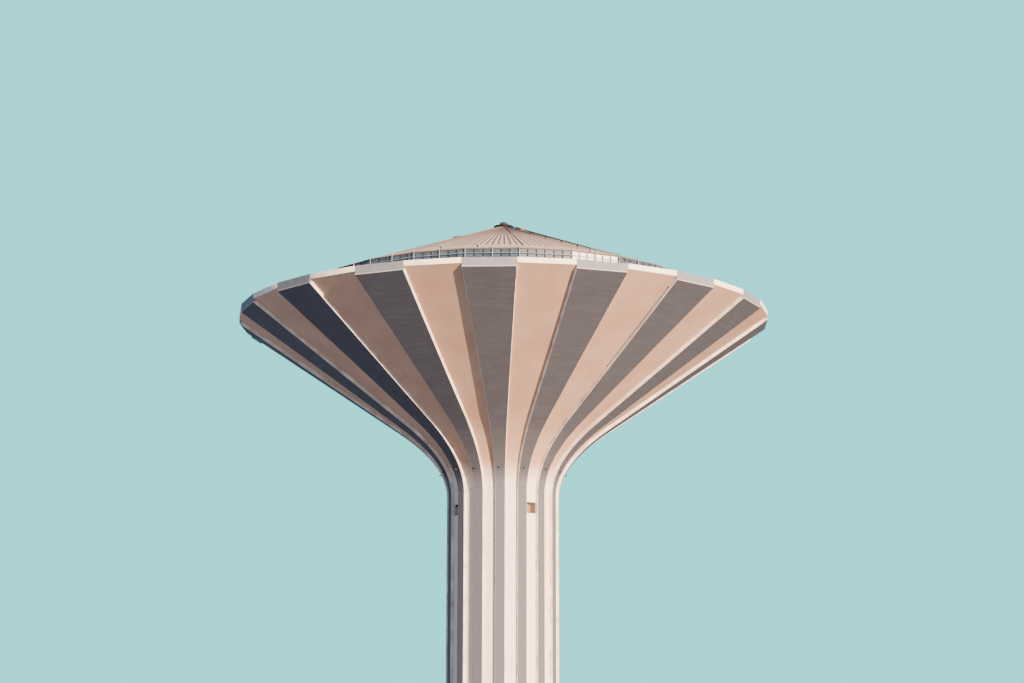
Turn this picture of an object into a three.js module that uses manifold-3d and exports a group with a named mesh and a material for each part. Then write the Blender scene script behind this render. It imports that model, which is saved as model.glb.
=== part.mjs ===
// Mushroom water tower in reinforced concrete, as a 1:10 scale model.
// A ribbed hollow stem flares into a conical tank with a flat rim walk, a low
// glazed gallery wall and a shallow conical roof.
//
// Sizes below are the real tower's, in metres. The model is in millimetres,
// +Z up, with its origin on the ground at the centre of the stem. A bearing of
// 0 degrees looks along -Y and grows towards +X, and a panel faces bearing 0.
import * as THREE from "three";
import { mergeVertices } from "three/addons/utils/BufferGeometryUtils.js";
import Module from "manifold-3d";

const SCALE = 1 / 10;
const MM = 1000 * SCALE;
const GAP = 0.3;

// The plan is a regular polygon: ribs and smooth panels take turns on its sides.
const FACETS = 32;
const FACET = (2 * Math.PI) / FACETS;
const HALF_FACET = FACET / 2;
const DEGREE = Math.PI / 180;

// Outline of the ribs, given as corner radius and height.
const RIM_RADIUS = 28.0;
const RIM_HEIGHT = 51.15;
const STEM_RADIUS = 5.88;
const CONE_SLOPE = 0.6745;
const FLARE_HEIGHT = 7.1;
const FLARE_STEPS = 8;
const RIB_FASCIA = 0.893;

// Ribs stand proud of the panels, and their sides lean in by the draft.
const RIB_DEPTH = 0.3;
const RIB_DRAFT = 0.04;
const STEM_RIB_ANGLE = 4.95 * DEGREE;
const RIM_RIB_ANGLE = 5.394 * DEGREE;

const WALL = 0.45;
const DECK_THICKNESS = 0.3;
const DECK_INNER_RADIUS = 19.7;

const FLOOR_THICKNESS = 0.5;
const FLOOR_DROP = 0.15;

const WINDOW_BEARING = 22.5 * DEGREE;
const WINDOW_SILL = 29.78;
const WINDOW_HEIGHT = 1.08;
const WINDOW_WIDTH = 1.02;
const WINDOW_SETBACK = 0.22;
const WINDOW_THICKNESS = 0.08;

// The gallery and the roof stand on the walk on a plan of their own, with fewer
// sides. One of its corners is on this bearing.
const LID_FACETS = 24;
const LID_FACET = (2 * Math.PI) / LID_FACETS;
const HALF_LID_FACET = LID_FACET / 2;
const LID_CORNER_BEARING = -4.28 * DEGREE;

// Heights from here on are above the rim walk.
const GALLERY_RADIUS = 20.25;
const GALLERY_THICKNESS = 0.14;
const GALLERY_HEIGHT = 2.83;
const COPING_HEIGHT = 0.1;
const COPING_OVERHANG = 0.08;
const KERB_WIDTH = 0.42;
const KERB_HEIGHT = 2.76;

const HANDRAIL_RADIUS = 20.43;
const HANDRAIL_HEIGHT = 2.3;
const HANDRAIL_WIDTH = 0.06;
const POST_HEIGHT = 3.07;
const POST_WIDTH = 0.08;
const POST_SHIFT = 0.15 * DEGREE;

const ROOF_APEX = 10.2;
const ROOF_SLOPE = 0.364;
const ROOF_THICKNESS = 0.16;
const ROOF_HOLE_RADIUS = 0.9;

const COLLAR_RADIUS = 1.08;
const COLLAR_BORE_RADIUS = 0.8;
const COLLAR_TOP = 9.98;
const DOME_RADIUS = 0.6;
const DOME_TOP = 10.57;

const ROOF_RAIL_BEARING = 16.7 * DEGREE;
const ROOF_RAIL_SECTION = 0.12;
const ROOF_RAIL_FOOT = 3.28;
const ROOF_RAIL_HEAD_RADIUS = 1.3;
const ROOF_RAIL_HEAD_CLEARANCE = 0.14;
const ROOF_RAIL_STANCHIONS = 5;
const ROOF_RAIL_STANCHION_WIDTH = 0.1;
const ROOF_RAIL_STANCHION_SPAN = 0.95;

const HATCH_SIZE = [0.7, 0.7, 0.22];
const HATCH_RADIUS = 2.7;
const HATCH_BEARING = 33.22 * DEGREE;
const VENT_BOX_SIZE = [0.62, 0.62, 0.18];
const VENT_BOX_RADIUS = 6.6;
const VENT_BOX_BEARING = -56.78 * DEGREE;

const manifoldLibrary = await Module();
manifoldLibrary.setup();

const finishes = {
  boardMarked: new THREE.MeshStandardMaterial({ color: 0x8c7b73, roughness: 0.9, metalness: 0 }),
  smoothConcrete: new THREE.MeshStandardMaterial({ color: 0xd9b79d, roughness: 0.85, metalness: 0 }),
  roofSheet: new THREE.MeshStandardMaterial({ color: 0xcdb4a5, roughness: 0.6, metalness: 0.1 }),
  galleryPanel: new THREE.MeshStandardMaterial({ color: 0x8a9fb0, roughness: 0.25, metalness: 0.2 }),
  galvanised: new THREE.MeshStandardMaterial({ color: 0xc9cdd0, roughness: 0.45, metalness: 0.8 }),
  darkMetal: new THREE.MeshStandardMaterial({ color: 0x4a4643, roughness: 0.6, metalness: 0.4 }),
  windowPanel: new THREE.MeshStandardMaterial({ color: 0xa9713f, roughness: 0.5, metalness: 0.1 }),
};

const tower = new THREE.Group();

function addPiece(name, geometry, material) {
  const mesh = new THREE.Mesh(geometry, material);
  mesh.name = name;
  tower.add(mesh);
}

function outward(bearing) {
  return new THREE.Vector3(Math.sin(bearing), -Math.cos(bearing), 0);
}

function sideways(bearing) {
  return new THREE.Vector3(Math.cos(bearing), Math.sin(bearing), 0);
}

// A point at a distance out and across from the bearing's line, in millimetres.
function place(bearing, out, across, height) {
  return outward(bearing)
    .multiplyScalar(out * MM)
    .addScaledVector(sideways(bearing), across * MM)
    .setZ(height * MM);
}

// One closed body from corner points and the triangles between them. Corners
// that coincide become one, and triangles that collapse on them are left out.
function closedBody(points, triangles) {
  const keys = new Map();
  const kept = [];
  const index = points.map((p) => {
    const key = [p.x, p.y, p.z].map((v) => Math.round(v * 100)).join(" ");
    if (!keys.has(key)) keys.set(key, kept.push(p) - 1);
    return keys.get(key);
  });
  const faces = triangles
    .map((t) => t.map((i) => index[i]))
    .filter(([a, b, c]) => a !== b && b !== c && c !== a);
  const volume = faces.reduce(
    (sum, [a, b, c]) => sum + kept[a].dot(new THREE.Vector3().crossVectors(kept[b], kept[c])), 0);
  const facing = volume < 0 ? faces.map(([a, b, c]) => [a, c, b]) : faces;
  return new THREE.BufferGeometry().setFromPoints(kept).setIndex(facing.flat());
}

// Corner of the plan on a station. A plain station has one radius and height,
// and a ribbed one has them for the root and the face of each rib.
function plain(radius, height) {
  const corner = {
    out: radius * Math.cos(HALF_FACET), across: radius * Math.sin(HALF_FACET), height };
  return { root: corner, face: corner };
}

function ribbed(face, root) {
  const along = (face.radius - STEM_RADIUS) / (RIM_RADIUS - STEM_RADIUS);
  const angle = STEM_RIB_ANGLE + (RIM_RIB_ANGLE - STEM_RIB_ANGLE) * along;
  const out = face.radius * Math.cos(HALF_FACET);
  const across = out * Math.tan(angle);
  return {
    face: { out, across, height: face.height },
    root: {
      out: root.radius * Math.cos(HALF_FACET), across: across + RIB_DRAFT, height: root.height },
  };
}

// The row of points that a station makes across a sector: both edges of the
// sector, and root, face, face and root of each rib in it.
function sectorRow(bearing, ribs, station) {
  const { root, face } = station;
  const row = [];
  for (let k = 0; k < ribs; k++) {
    const rib = bearing + (2 * k + 1 - ribs) * FACET;
    row.push(place(rib, root.out, -root.across, root.height));
    row.push(place(rib, face.out, -face.across, face.height));
    row.push(place(rib, face.out, face.across, face.height));
    row.push(place(rib, root.out, root.across, root.height));
  }
  const edge = (side, corner) => {
    const at = bearing + side * ribs * FACET;
    const out = corner.dot(outward(at));
    return outward(at).multiplyScalar(out).addScaledVector(sideways(at), (-side * GAP) / 2)
      .setZ(corner.z);
  };
  return [edge(-1, row[0]), ...row, edge(1, row[row.length - 1])];
}

// The same row for a sector of the gallery or the roof, from the bearing of its
// first corner and from the corner radius and height of a point of its section.
function lidRow(firstCorner, facets, [radius, height]) {
  const row = [];
  for (let k = 0; k <= facets; k++) {
    const inset = Math.sign(facets - k) - Math.sign(k);
    row.push(place(firstCorner + k * LID_FACET, radius, (inset * GAP) / 2 / MM, height));
  }
  return row;
}

function sector(bearing, ribs, stations) {
  return closedSector(stations.map((station) => sectorRow(bearing, ribs, station)));
}

function lidSector(firstCorner, facets, section) {
  return closedSector(section.map((corner) => lidRow(firstCorner, facets, corner)));
}

// A sector whose section is the closed loop of its rows.
function closedSector(rows) {
  const columns = rows[0].length;
  const corner = (i, j) => (i % rows.length) * columns + j;
  const triangles = [];
  rows.forEach((_, i) => {
    for (let j = 0; j < columns - 1; j++) {
      const [a, b, c, d] = [corner(i, j), corner(i + 1, j), corner(i + 1, j + 1), corner(i, j + 1)];
      triangles.push([a, b, c], [a, c, d]);
    }
  });
  const contour = rows.map((row) => new THREE.Vector2(Math.hypot(row[0].x, row[0].y), row[0].z));
  const turning = Math.sign(THREE.ShapeUtils.area(contour));
  for (const face of THREE.ShapeUtils.triangulateShape(contour, [])) {
    const ahead = Math.sign(THREE.ShapeUtils.area(face.map((i) => contour[i]))) === turning;
    const [a, b, c] = ahead ? face : [face[0], face[2], face[1]];
    triangles.push([corner(c, 0), corner(b, 0), corner(a, 0)]);
    triangles.push([a, b, c].map((i) => corner(i, columns - 1)));
  }
  return closedBody(rows.flat(), triangles);
}

function toSolid(geometry) {
  const bare = geometry.clone();
  bare.deleteAttribute("normal");
  bare.deleteAttribute("uv");
  const merged = mergeVertices(bare, 1e-3);
  return new manifoldLibrary.Manifold(new manifoldLibrary.Mesh({
    numProp: 3,
    vertProperties: merged.attributes.position.array,
    triVerts: new Uint32Array(merged.index.array),
  }));
}

function toGeometry(solid) {
  const mesh = solid.getMesh();
  return new THREE.BufferGeometry()
    .setAttribute("position", new THREE.BufferAttribute(mesh.vertProperties, 3))
    .setIndex(new THREE.BufferAttribute(mesh.triVerts, 1));
}

function joined(geometries) {
  return toGeometry(geometries.map(toSolid).reduce((sum, solid) => sum.add(solid)));
}

// A box with its sizes across, out and up, turned to a bearing. Its middle is
// at a distance out from the axis and at a height, and it leans with the roof.
function boxAt(bearing, [across, deep, high], out, height, lean = 0) {
  return new THREE.BoxGeometry(across * MM, deep * MM, high * MM)
    .rotateX(lean)
    .translate(0, -out * MM, height * MM)
    .rotateZ(bearing);
}

// Profile of the ribs from the ground to the rim. The flare is a parabola that
// leaves the stem upright and meets the cone's slope at its top.
const flareTopRadius = STEM_RADIUS + FLARE_HEIGHT / (2 * CONE_SLOPE);
const coneHeight = (radius) => RIM_HEIGHT - RIB_FASCIA - (RIM_RADIUS - radius) * CONE_SLOPE;
const flareTop = new THREE.Vector2(flareTopRadius, coneHeight(flareTopRadius));
const flareFoot = new THREE.Vector2(STEM_RADIUS, flareTop.y - FLARE_HEIGHT);
const flareCurve = new THREE.QuadraticBezierCurve(
  flareFoot, new THREE.Vector2(STEM_RADIUS, flareTop.y - FLARE_HEIGHT / 2), flareTop);

// The panels and the inner face run alongside the ribs, square to the profile.
function behind(point, tangent, depth) {
  return { radius: point.x - tangent.y * depth, height: point.y + tangent.x * depth };
}

function wallSection(point, tangent) {
  const root = behind(point, tangent, RIB_DEPTH);
  const inner = behind(point, tangent, RIB_DEPTH + WALL);
  return {
    outer: ribbed({ radius: point.x, height: point.y }, root),
    inner: plain(inner.radius, inner.height),
  };
}

const upright = new THREE.Vector2(0, 1);
const coneTangent = new THREE.Vector2(1, CONE_SLOPE).normalize();
const jointGap = GAP / 2 / MM;

function loopOf(sections) {
  return [...sections.map((s) => s.outer), ...sections.map((s) => s.inner).reverse()];
}

const stemSections = [0, flareFoot.y - jointGap].map(
  (height) => wallSection(new THREE.Vector2(STEM_RADIUS, height), upright));

const flareSections = [];
for (let k = 0; k <= FLARE_STEPS; k++) {
  const t = k / FLARE_STEPS;
  const point = flareCurve.getPoint(t);
  const tangent = flareCurve.getTangent(t);
  if (k === 0) point.addScaledVector(tangent, jointGap);
  if (k === FLARE_STEPS) point.addScaledVector(tangent, -jointGap);
  flareSections.push(wallSection(point, tangent));
}

// The tank's wall carries the rim beam and the walk, which closes it above.
const bowlFoot = wallSection(flareTop.clone().addScaledVector(coneTangent, jointGap), coneTangent);
const panelFascia = RIB_FASCIA - RIB_DEPTH / coneTangent.x;
const bowlRim = ribbed(
  { radius: RIM_RADIUS, height: RIM_HEIGHT - RIB_FASCIA },
  { radius: RIM_RADIUS, height: RIM_HEIGHT - panelFascia });
const bowlInner = behind(
  new THREE.Vector2(RIM_RADIUS, RIM_HEIGHT - RIB_FASCIA), coneTangent, RIB_DEPTH + WALL);
const deckUnderside = RIM_HEIGHT - DECK_THICKNESS;
const deckRootRadius = bowlInner.radius + (deckUnderside - bowlInner.height) / CONE_SLOPE;
const bowlStations = [
  bowlFoot.outer,
  bowlRim,
  plain(RIM_RADIUS, RIM_HEIGHT),
  plain(DECK_INNER_RADIUS, RIM_HEIGHT),
  plain(DECK_INNER_RADIUS, deckUnderside),
  plain(deckRootRadius, deckUnderside),
  bowlFoot.inner,
];

function windowHole(bearing) {
  const inside = STEM_RADIUS - 2 * (RIB_DEPTH + WALL);
  const outside = STEM_RADIUS + RIB_DEPTH;
  return boxAt(bearing, [WINDOW_WIDTH, outside - inside, WINDOW_HEIGHT],
    (outside + inside) / 2, WINDOW_SILL + WINDOW_HEIGHT / 2);
}

function windowPanel(bearing) {
  const face = (STEM_RADIUS - RIB_DEPTH) * Math.cos(HALF_FACET);
  const clear = (2 * GAP) / MM;
  return boxAt(bearing, [WINDOW_WIDTH - clear, WINDOW_THICKNESS, WINDOW_HEIGHT - clear],
    face - WINDOW_SETBACK - WINDOW_THICKNESS / 2, WINDOW_SILL + WINDOW_HEIGHT / 2);
}

const EIGHTHS = 8;
for (let k = 0; k < EIGHTHS; k++) {
  const bearing = WINDOW_BEARING + (k * 2 * Math.PI) / EIGHTHS;
  const stem = sector(bearing, 2, loopOf(stemSections));
  const pierced = k % 2 === 0;
  addPiece(`stem_wall_${k + 1}`,
    pierced ? toGeometry(toSolid(stem).subtract(toSolid(windowHole(bearing)))) : stem,
    finishes.smoothConcrete);
  if (pierced) addPiece(`window_${k / 2 + 1}`, windowPanel(bearing), finishes.windowPanel);
  addPiece(`flare_wall_${k + 1}`, sector(bearing, 2, loopOf(flareSections)),
    finishes.smoothConcrete);
  addPiece(`bowl_${k + 1}`, sector(bearing, 2, bowlStations), finishes.smoothConcrete);
}

// The tank's floor is a slab in the head of the stem.
const stemInnerRadius = STEM_RADIUS - RIB_DEPTH - WALL;
const floorTop = flareFoot.y - FLOOR_DROP;
addPiece("tank_floor",
  new THREE.CylinderGeometry(
    stemInnerRadius * MM - 2 * GAP, stemInnerRadius * MM - 2 * GAP, FLOOR_THICKNESS * MM, FACETS)
    .rotateX(Math.PI / 2)
    .rotateZ(HALF_FACET)
    .translate(0, 0, (floorTop - FLOOR_THICKNESS / 2) * MM),
  finishes.boardMarked);

// The gallery wall stands on the walk, with a kerb inside that seats the roof.
const onRim = (height) => RIM_HEIGHT + height;
const seat = GAP / MM;
const gallerySection = [
  [GALLERY_RADIUS, onRim(seat)],
  [GALLERY_RADIUS, onRim(GALLERY_HEIGHT - COPING_HEIGHT)],
  [GALLERY_RADIUS + COPING_OVERHANG, onRim(GALLERY_HEIGHT - COPING_HEIGHT)],
  [GALLERY_RADIUS + COPING_OVERHANG, onRim(GALLERY_HEIGHT)],
  [GALLERY_RADIUS - GALLERY_THICKNESS, onRim(GALLERY_HEIGHT)],
  [GALLERY_RADIUS - GALLERY_THICKNESS, onRim(KERB_HEIGHT)],
  [GALLERY_RADIUS - KERB_WIDTH, onRim(KERB_HEIGHT)],
  [GALLERY_RADIUS - KERB_WIDTH, onRim(seat)],
];

const halfHandrail = HANDRAIL_WIDTH / 2;
const handrailSection = [[-1, -1], [1, -1], [1, 1], [-1, 1]].map(([out, up]) => [
  HANDRAIL_RADIUS + out * halfHandrail, onRim(HANDRAIL_HEIGHT + up * halfHandrail)]);

// Distance of the gallery's side from the axis on any bearing, for a corner radius.
function sideDistance(radius, bearing) {
  const turned = bearing - LID_CORNER_BEARING - HALF_LID_FACET;
  const offCentre = turned - Math.round(turned / LID_FACET) * LID_FACET;
  return (radius * Math.cos(HALF_LID_FACET)) / Math.cos(offCentre);
}

function galleryPost(bearing) {
  return boxAt(bearing, [POST_WIDTH, POST_WIDTH, POST_HEIGHT],
    sideDistance(HANDRAIL_RADIUS, bearing), onRim(seat + POST_HEIGHT / 2));
}

const QUARTERS = 4;
const FACETS_PER_QUARTER = LID_FACETS / QUARTERS;
for (let k = 0; k < QUARTERS; k++) {
  const corner = LID_CORNER_BEARING + k * FACETS_PER_QUARTER * LID_FACET;
  addPiece(`gallery_wall_${k + 1}`, lidSector(corner, FACETS_PER_QUARTER, gallerySection),
    finishes.galleryPanel);
  const rail = [lidSector(corner, FACETS_PER_QUARTER, handrailSection)];
  for (let p = 0; p < 2 * FACETS_PER_QUARTER; p++) {
    rail.push(galleryPost(corner + p * HALF_LID_FACET + POST_SHIFT));
  }
  addPiece(`gallery_rail_${k + 1}`, joined(rail), finishes.galvanised);
}

// The roof is a thin cone whose foot has a flat seat on the kerb.
const roofTop = (radius) => onRim(ROOF_APEX - ROOF_SLOPE * radius);
const roofFootRadius = GALLERY_RADIUS - GALLERY_THICKNESS - seat;
const roofSeat = onRim(KERB_HEIGHT) + seat;
const roofSeatRadius = (onRim(ROOF_APEX) - ROOF_THICKNESS - roofSeat) / ROOF_SLOPE;
const roofSection = [
  [ROOF_HOLE_RADIUS, roofTop(ROOF_HOLE_RADIUS)],
  [roofFootRadius, roofTop(roofFootRadius)],
  [roofFootRadius, roofSeat],
  [roofSeatRadius, roofSeat],
  [ROOF_HOLE_RADIUS, roofTop(ROOF_HOLE_RADIUS) - ROOF_THICKNESS],
];
const FACETS_PER_EIGHTH = LID_FACETS / EIGHTHS;
for (let k = 0; k < EIGHTHS; k++) {
  addPiece(`roof_${k + 1}`,
    lidSector(LID_CORNER_BEARING + k * FACETS_PER_EIGHTH * LID_FACET, FACETS_PER_EIGHTH,
      roofSection),
    finishes.roofSheet);
}

// The vent at the apex is a collar that sits over the roof's hole, with a dome.
const collarSeat = roofTop(COLLAR_RADIUS) + seat;
const collarHead = roofTop(COLLAR_BORE_RADIUS) + seat;
const apexProfile = [
  [0, collarHead],
  [COLLAR_BORE_RADIUS, collarHead],
  [COLLAR_RADIUS, collarSeat],
  [COLLAR_RADIUS, onRim(COLLAR_TOP)],
  [DOME_RADIUS, onRim(COLLAR_TOP)],
];
const DOME_STEPS = 5;
for (let k = 1; k <= DOME_STEPS; k++) {
  const turn = (k / DOME_STEPS) * (Math.PI / 2);
  apexProfile.push([
    k === DOME_STEPS ? 0 : DOME_RADIUS * Math.cos(turn),
    onRim(COLLAR_TOP + (DOME_TOP - COLLAR_TOP) * Math.sin(turn)),
  ]);
}
addPiece("apex_vent",
  new THREE.LatheGeometry(
    apexProfile.map(([radius, height]) => new THREE.Vector2(radius * MM, height * MM)),
    LID_FACETS)
    .rotateX(Math.PI / 2)
    .rotateZ(LID_CORNER_BEARING),
  finishes.darkMetal);

// A straight handrail rises from a foot post on the coping to the apex, and
// stanchions carry it over the roof.
const roofLean = Math.atan(ROOF_SLOPE / Math.cos(HALF_LID_FACET));
const roofSide = (out) => roofTop(out / Math.cos(HALF_LID_FACET));
function roofHandrail() {
  const copingMiddle = GALLERY_RADIUS + (COPING_OVERHANG - GALLERY_THICKNESS) / 2;
  const postOut = copingMiddle * Math.cos(HALF_LID_FACET);
  const footOut = postOut + ROOF_RAIL_SECTION;
  const headOut = ROOF_RAIL_HEAD_RADIUS;
  const footHeight = onRim(ROOF_RAIL_FOOT);
  const headHeight = roofSide(headOut) + ROOF_RAIL_HEAD_CLEARANCE;
  const rise = (headHeight - footHeight) / (footOut - headOut);
  const railHeight = (out) => footHeight + (footOut - out) * rise;
  const width = ROOF_RAIL_STANCHION_WIDTH;
  const upright = (out, foot) => boxAt(ROOF_RAIL_BEARING,
    [width, width, railHeight(out) - foot], out, (railHeight(out) + foot) / 2);
  const length = Math.hypot(footOut - headOut, headHeight - footHeight);
  const pieces = [
    boxAt(ROOF_RAIL_BEARING, [ROOF_RAIL_SECTION, length, ROOF_RAIL_SECTION],
      (footOut + headOut) / 2, (footHeight + headHeight) / 2, Math.atan(rise)),
    upright(postOut, onRim(GALLERY_HEIGHT) + seat),
  ];
  for (let k = 0; k < ROOF_RAIL_STANCHIONS; k++) {
    const along = ((k + 0.5) / ROOF_RAIL_STANCHIONS) * ROOF_RAIL_STANCHION_SPAN;
    const out = headOut + (footOut - headOut) * along;
    pieces.push(upright(out, roofSide(out - width / 2) + seat));
  }
  return joined(pieces);
}
addPiece("roof_handrail", roofHandrail(), finishes.darkMetal);

// Boxes that lie on a side of the roof, their undersides parallel to it.
function onRoof(bearing, size, radius) {
  const lift = size[2] / 2 + seat;
  return boxAt(bearing, size, radius + Math.sin(roofLean) * lift,
    roofSide(radius) + Math.cos(roofLean) * lift, roofLean);
}
addPiece("roof_hatch", onRoof(HATCH_BEARING, HATCH_SIZE, HATCH_RADIUS), finishes.roofSheet);
addPiece("roof_vent_box", onRoof(VENT_BOX_BEARING, VENT_BOX_SIZE, VENT_BOX_RADIUS),
  finishes.darkMetal);

export default tower;
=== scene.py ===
"""Looks of a mushroom water tower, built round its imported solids.

The tower is cast concrete: board-marked ribs and smooth panels take turns up a
hollow stem, a flared neck and a conical tank. A low wall of enamelled panels
stands on the rim walk behind a handrail, under a standing-seam sheet roof.

Sizes are the real tower's, in metres, and the model is a tenth of them.
Bearings are in degrees: 0 looks along -Y and they grow towards +X.
"""

from __future__ import annotations

import logging
import math
from collections.abc import Callable, Iterable, Sequence
from dataclasses import dataclass, field
from enum import Enum, IntEnum
from typing import Any

import bmesh
import bpy
from mathutils import Matrix, Vector

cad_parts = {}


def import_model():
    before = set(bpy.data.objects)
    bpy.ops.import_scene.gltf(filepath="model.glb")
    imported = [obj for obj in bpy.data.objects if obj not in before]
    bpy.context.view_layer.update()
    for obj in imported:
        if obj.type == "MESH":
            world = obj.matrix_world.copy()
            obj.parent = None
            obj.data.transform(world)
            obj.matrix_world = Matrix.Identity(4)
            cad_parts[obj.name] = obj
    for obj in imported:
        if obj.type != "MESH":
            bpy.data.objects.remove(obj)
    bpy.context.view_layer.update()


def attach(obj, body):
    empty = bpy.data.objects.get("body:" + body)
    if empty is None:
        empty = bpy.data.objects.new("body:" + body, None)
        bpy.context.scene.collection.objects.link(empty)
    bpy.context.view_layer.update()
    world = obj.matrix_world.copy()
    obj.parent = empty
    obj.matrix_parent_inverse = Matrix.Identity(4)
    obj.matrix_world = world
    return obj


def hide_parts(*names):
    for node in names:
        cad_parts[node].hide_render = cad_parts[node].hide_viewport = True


LOG = logging.getLogger("tower")

SCALE = 0.1
FACETS = 32
FACET = 360 / FACETS
HALF_FACET = math.radians(FACET / 2)
FLATNESS = math.cos(HALF_FACET)
# each rib and the panel beside it take up a pair of sides
RIBS = FACETS // 2
PAIR = 2 * FACET
# keeps the stretch of a map that one side uses clear of the next side's
MAP_STEP = 40
# roundings have two steps and leave out edges flatter than 40 degrees
ROUNDING_STEPS = 2
ROUNDING_FROM = math.radians(40)

Finish = bpy.types.Material
Piece = bpy.types.Object
Socket = bpy.types.NodeSocket
Pair = tuple[float, float]
Triple = tuple[float, float, float]
Map = Callable[[int, int, int], Pair]
Choice = Callable[[int, int], int]


class Part(IntEnum):
    """Which of a piece's finishes a face wears."""

    MAIN = 0
    EDGE = 1
    TRIM = 2


class Tone(Enum):
    """Colours of the tower's finishes, as sRGB hex values."""

    PANEL = "#BA957C"
    PANEL_DAMP = "#9C7C67"
    PANEL_WASHED = "#C4A188"
    PANEL_STEM_PAINTED_LIGHT = "#F2EADB"
    RIB = "#494A51"
    RIB_DARK = "#38393E"
    RIB_PALE = "#565960"
    RIB_STEM_PAINTED_LIGHT = "#676874"
    ARRIS = "#EBE4D9"
    BLOCK = "#FFFBEC"
    CAP = "#313232"
    FASCIA = "#757A85"
    FASCIA_LIP = "#A9A8AB"
    ROOF = "#C6B9AB"
    ROOF_SEAM = "#5A4A43"
    ROOF_DUST = "#A89788"
    ENAMEL = "#32404F"
    ENAMEL_PALE = "#4B5D6F"
    PAINTED_REFLECTION = "#EFEEE6"
    PAINTED_REFLECTION_PALE = "#F6FAF8"
    BLACK_JOINT_AND_SHADE = "#111217"
    COPING = "#655652"
    ZINC = "#7C92A6"
    ZINC_DARK = "#828B95"
    PAINT = "#3B3A3B"
    RUST = "#6B4936"
    ANODISED = "#30241B"
    PANE_TAN = "#865F3C"
    PANE_BROWN = "#4A3224"
    PANE_GREY = "#A8A59C"
    WALK = "#8F8E8E"
    WALK_DUST = "#7C7A7A"
    FLOOR = "#90A3BC"


def linear(tone: Tone) -> tuple[float, float, float, float]:
    """Turns a tone's sRGB hex value to linear light.

    Args:
        tone: The colour.

    Returns:
        Red, green, blue and an alpha of one.
    """
    channels = [int(tone.value[i : i + 2], 16) / 255 for i in (1, 3, 5)]
    light = [c / 12.92 if c <= 0.04045 else ((c + 0.055) / 1.055) ** 2.4 for c in channels]
    return (light[0], light[1], light[2], 1.0)


def outward(bearing: float) -> Vector:
    """Level direction away from the axis on a bearing."""
    return Vector((math.sin(math.radians(bearing)), -math.cos(math.radians(bearing)), 0))


def sideways(bearing: float) -> Vector:
    """Level direction across a bearing, to its right as seen from outside."""
    return Vector((math.cos(math.radians(bearing)), math.sin(math.radians(bearing)), 0))


def place(bearing: float, out: float, across: float, height: float) -> Vector:
    """Finds a point from a bearing.

    Args:
        bearing: Degrees round the axis.
        out: Distance from the axis along the bearing.
        across: Distance to the right of the bearing's line.
        height: Height above the ground.

    Returns:
        The point, in the real tower's metres.
    """
    return outward(bearing) * out + sideways(bearing) * across + Vector((0, 0, height))


def walked(corners: Sequence[Sequence[float]]) -> list[float]:
    """Measures the way round a closed line.

    Args:
        corners: Its corners in order.

    Returns:
        Length walked from the first corner to each, and back to the first.
    """
    lengths = [0.0]
    for here, there in zip(corners, [*corners[1:], corners[0]]):
        lengths.append(lengths[-1] + math.dist(here, there))
    return lengths


def arc(middle: Pair, reach: Pair, angles: Iterable[float]) -> list[Pair]:
    """Gives points on an ellipse.

    Args:
        middle: Its middle.
        reach: How far it reaches from there each way.
        angles: Where on it each point is, in degrees.

    Returns:
        The points.
    """
    turns = (math.radians(angle) for angle in angles)
    (x, y), (wide, tall) = middle, reach
    return [(x + wide * math.cos(turn), y + tall * math.sin(turn)) for turn in turns]


# Node trees


class Wiring:
    """A node tree in the making."""

    def __init__(self, tree: bpy.types.NodeTree) -> None:
        """Takes the tree that gets the nodes."""
        self.tree = tree

    def add(
        self, kind: str, sockets: dict[int | str, Any] | None = None, **settings: Any
    ) -> bpy.types.Node:
        """Adds a node with its settings and with what goes into its sockets.

        Args:
            kind: The node's type.
            sockets: For each input, by name or place: a value, another node's output,
                or a node, which stands for its first output.
            **settings: The node's own properties.

        Returns:
            The new node.
        """
        node = self.tree.nodes.new(kind)
        for name, value in settings.items():
            setattr(node, name, value)
        for key, value in (sockets or {}).items():
            if isinstance(value, bpy.types.Node):
                value = value.outputs[0]
            if isinstance(value, Socket):
                self.tree.links.new(value, node.inputs[key])
            else:
                node.inputs[key].default_value = value
        return node


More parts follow.
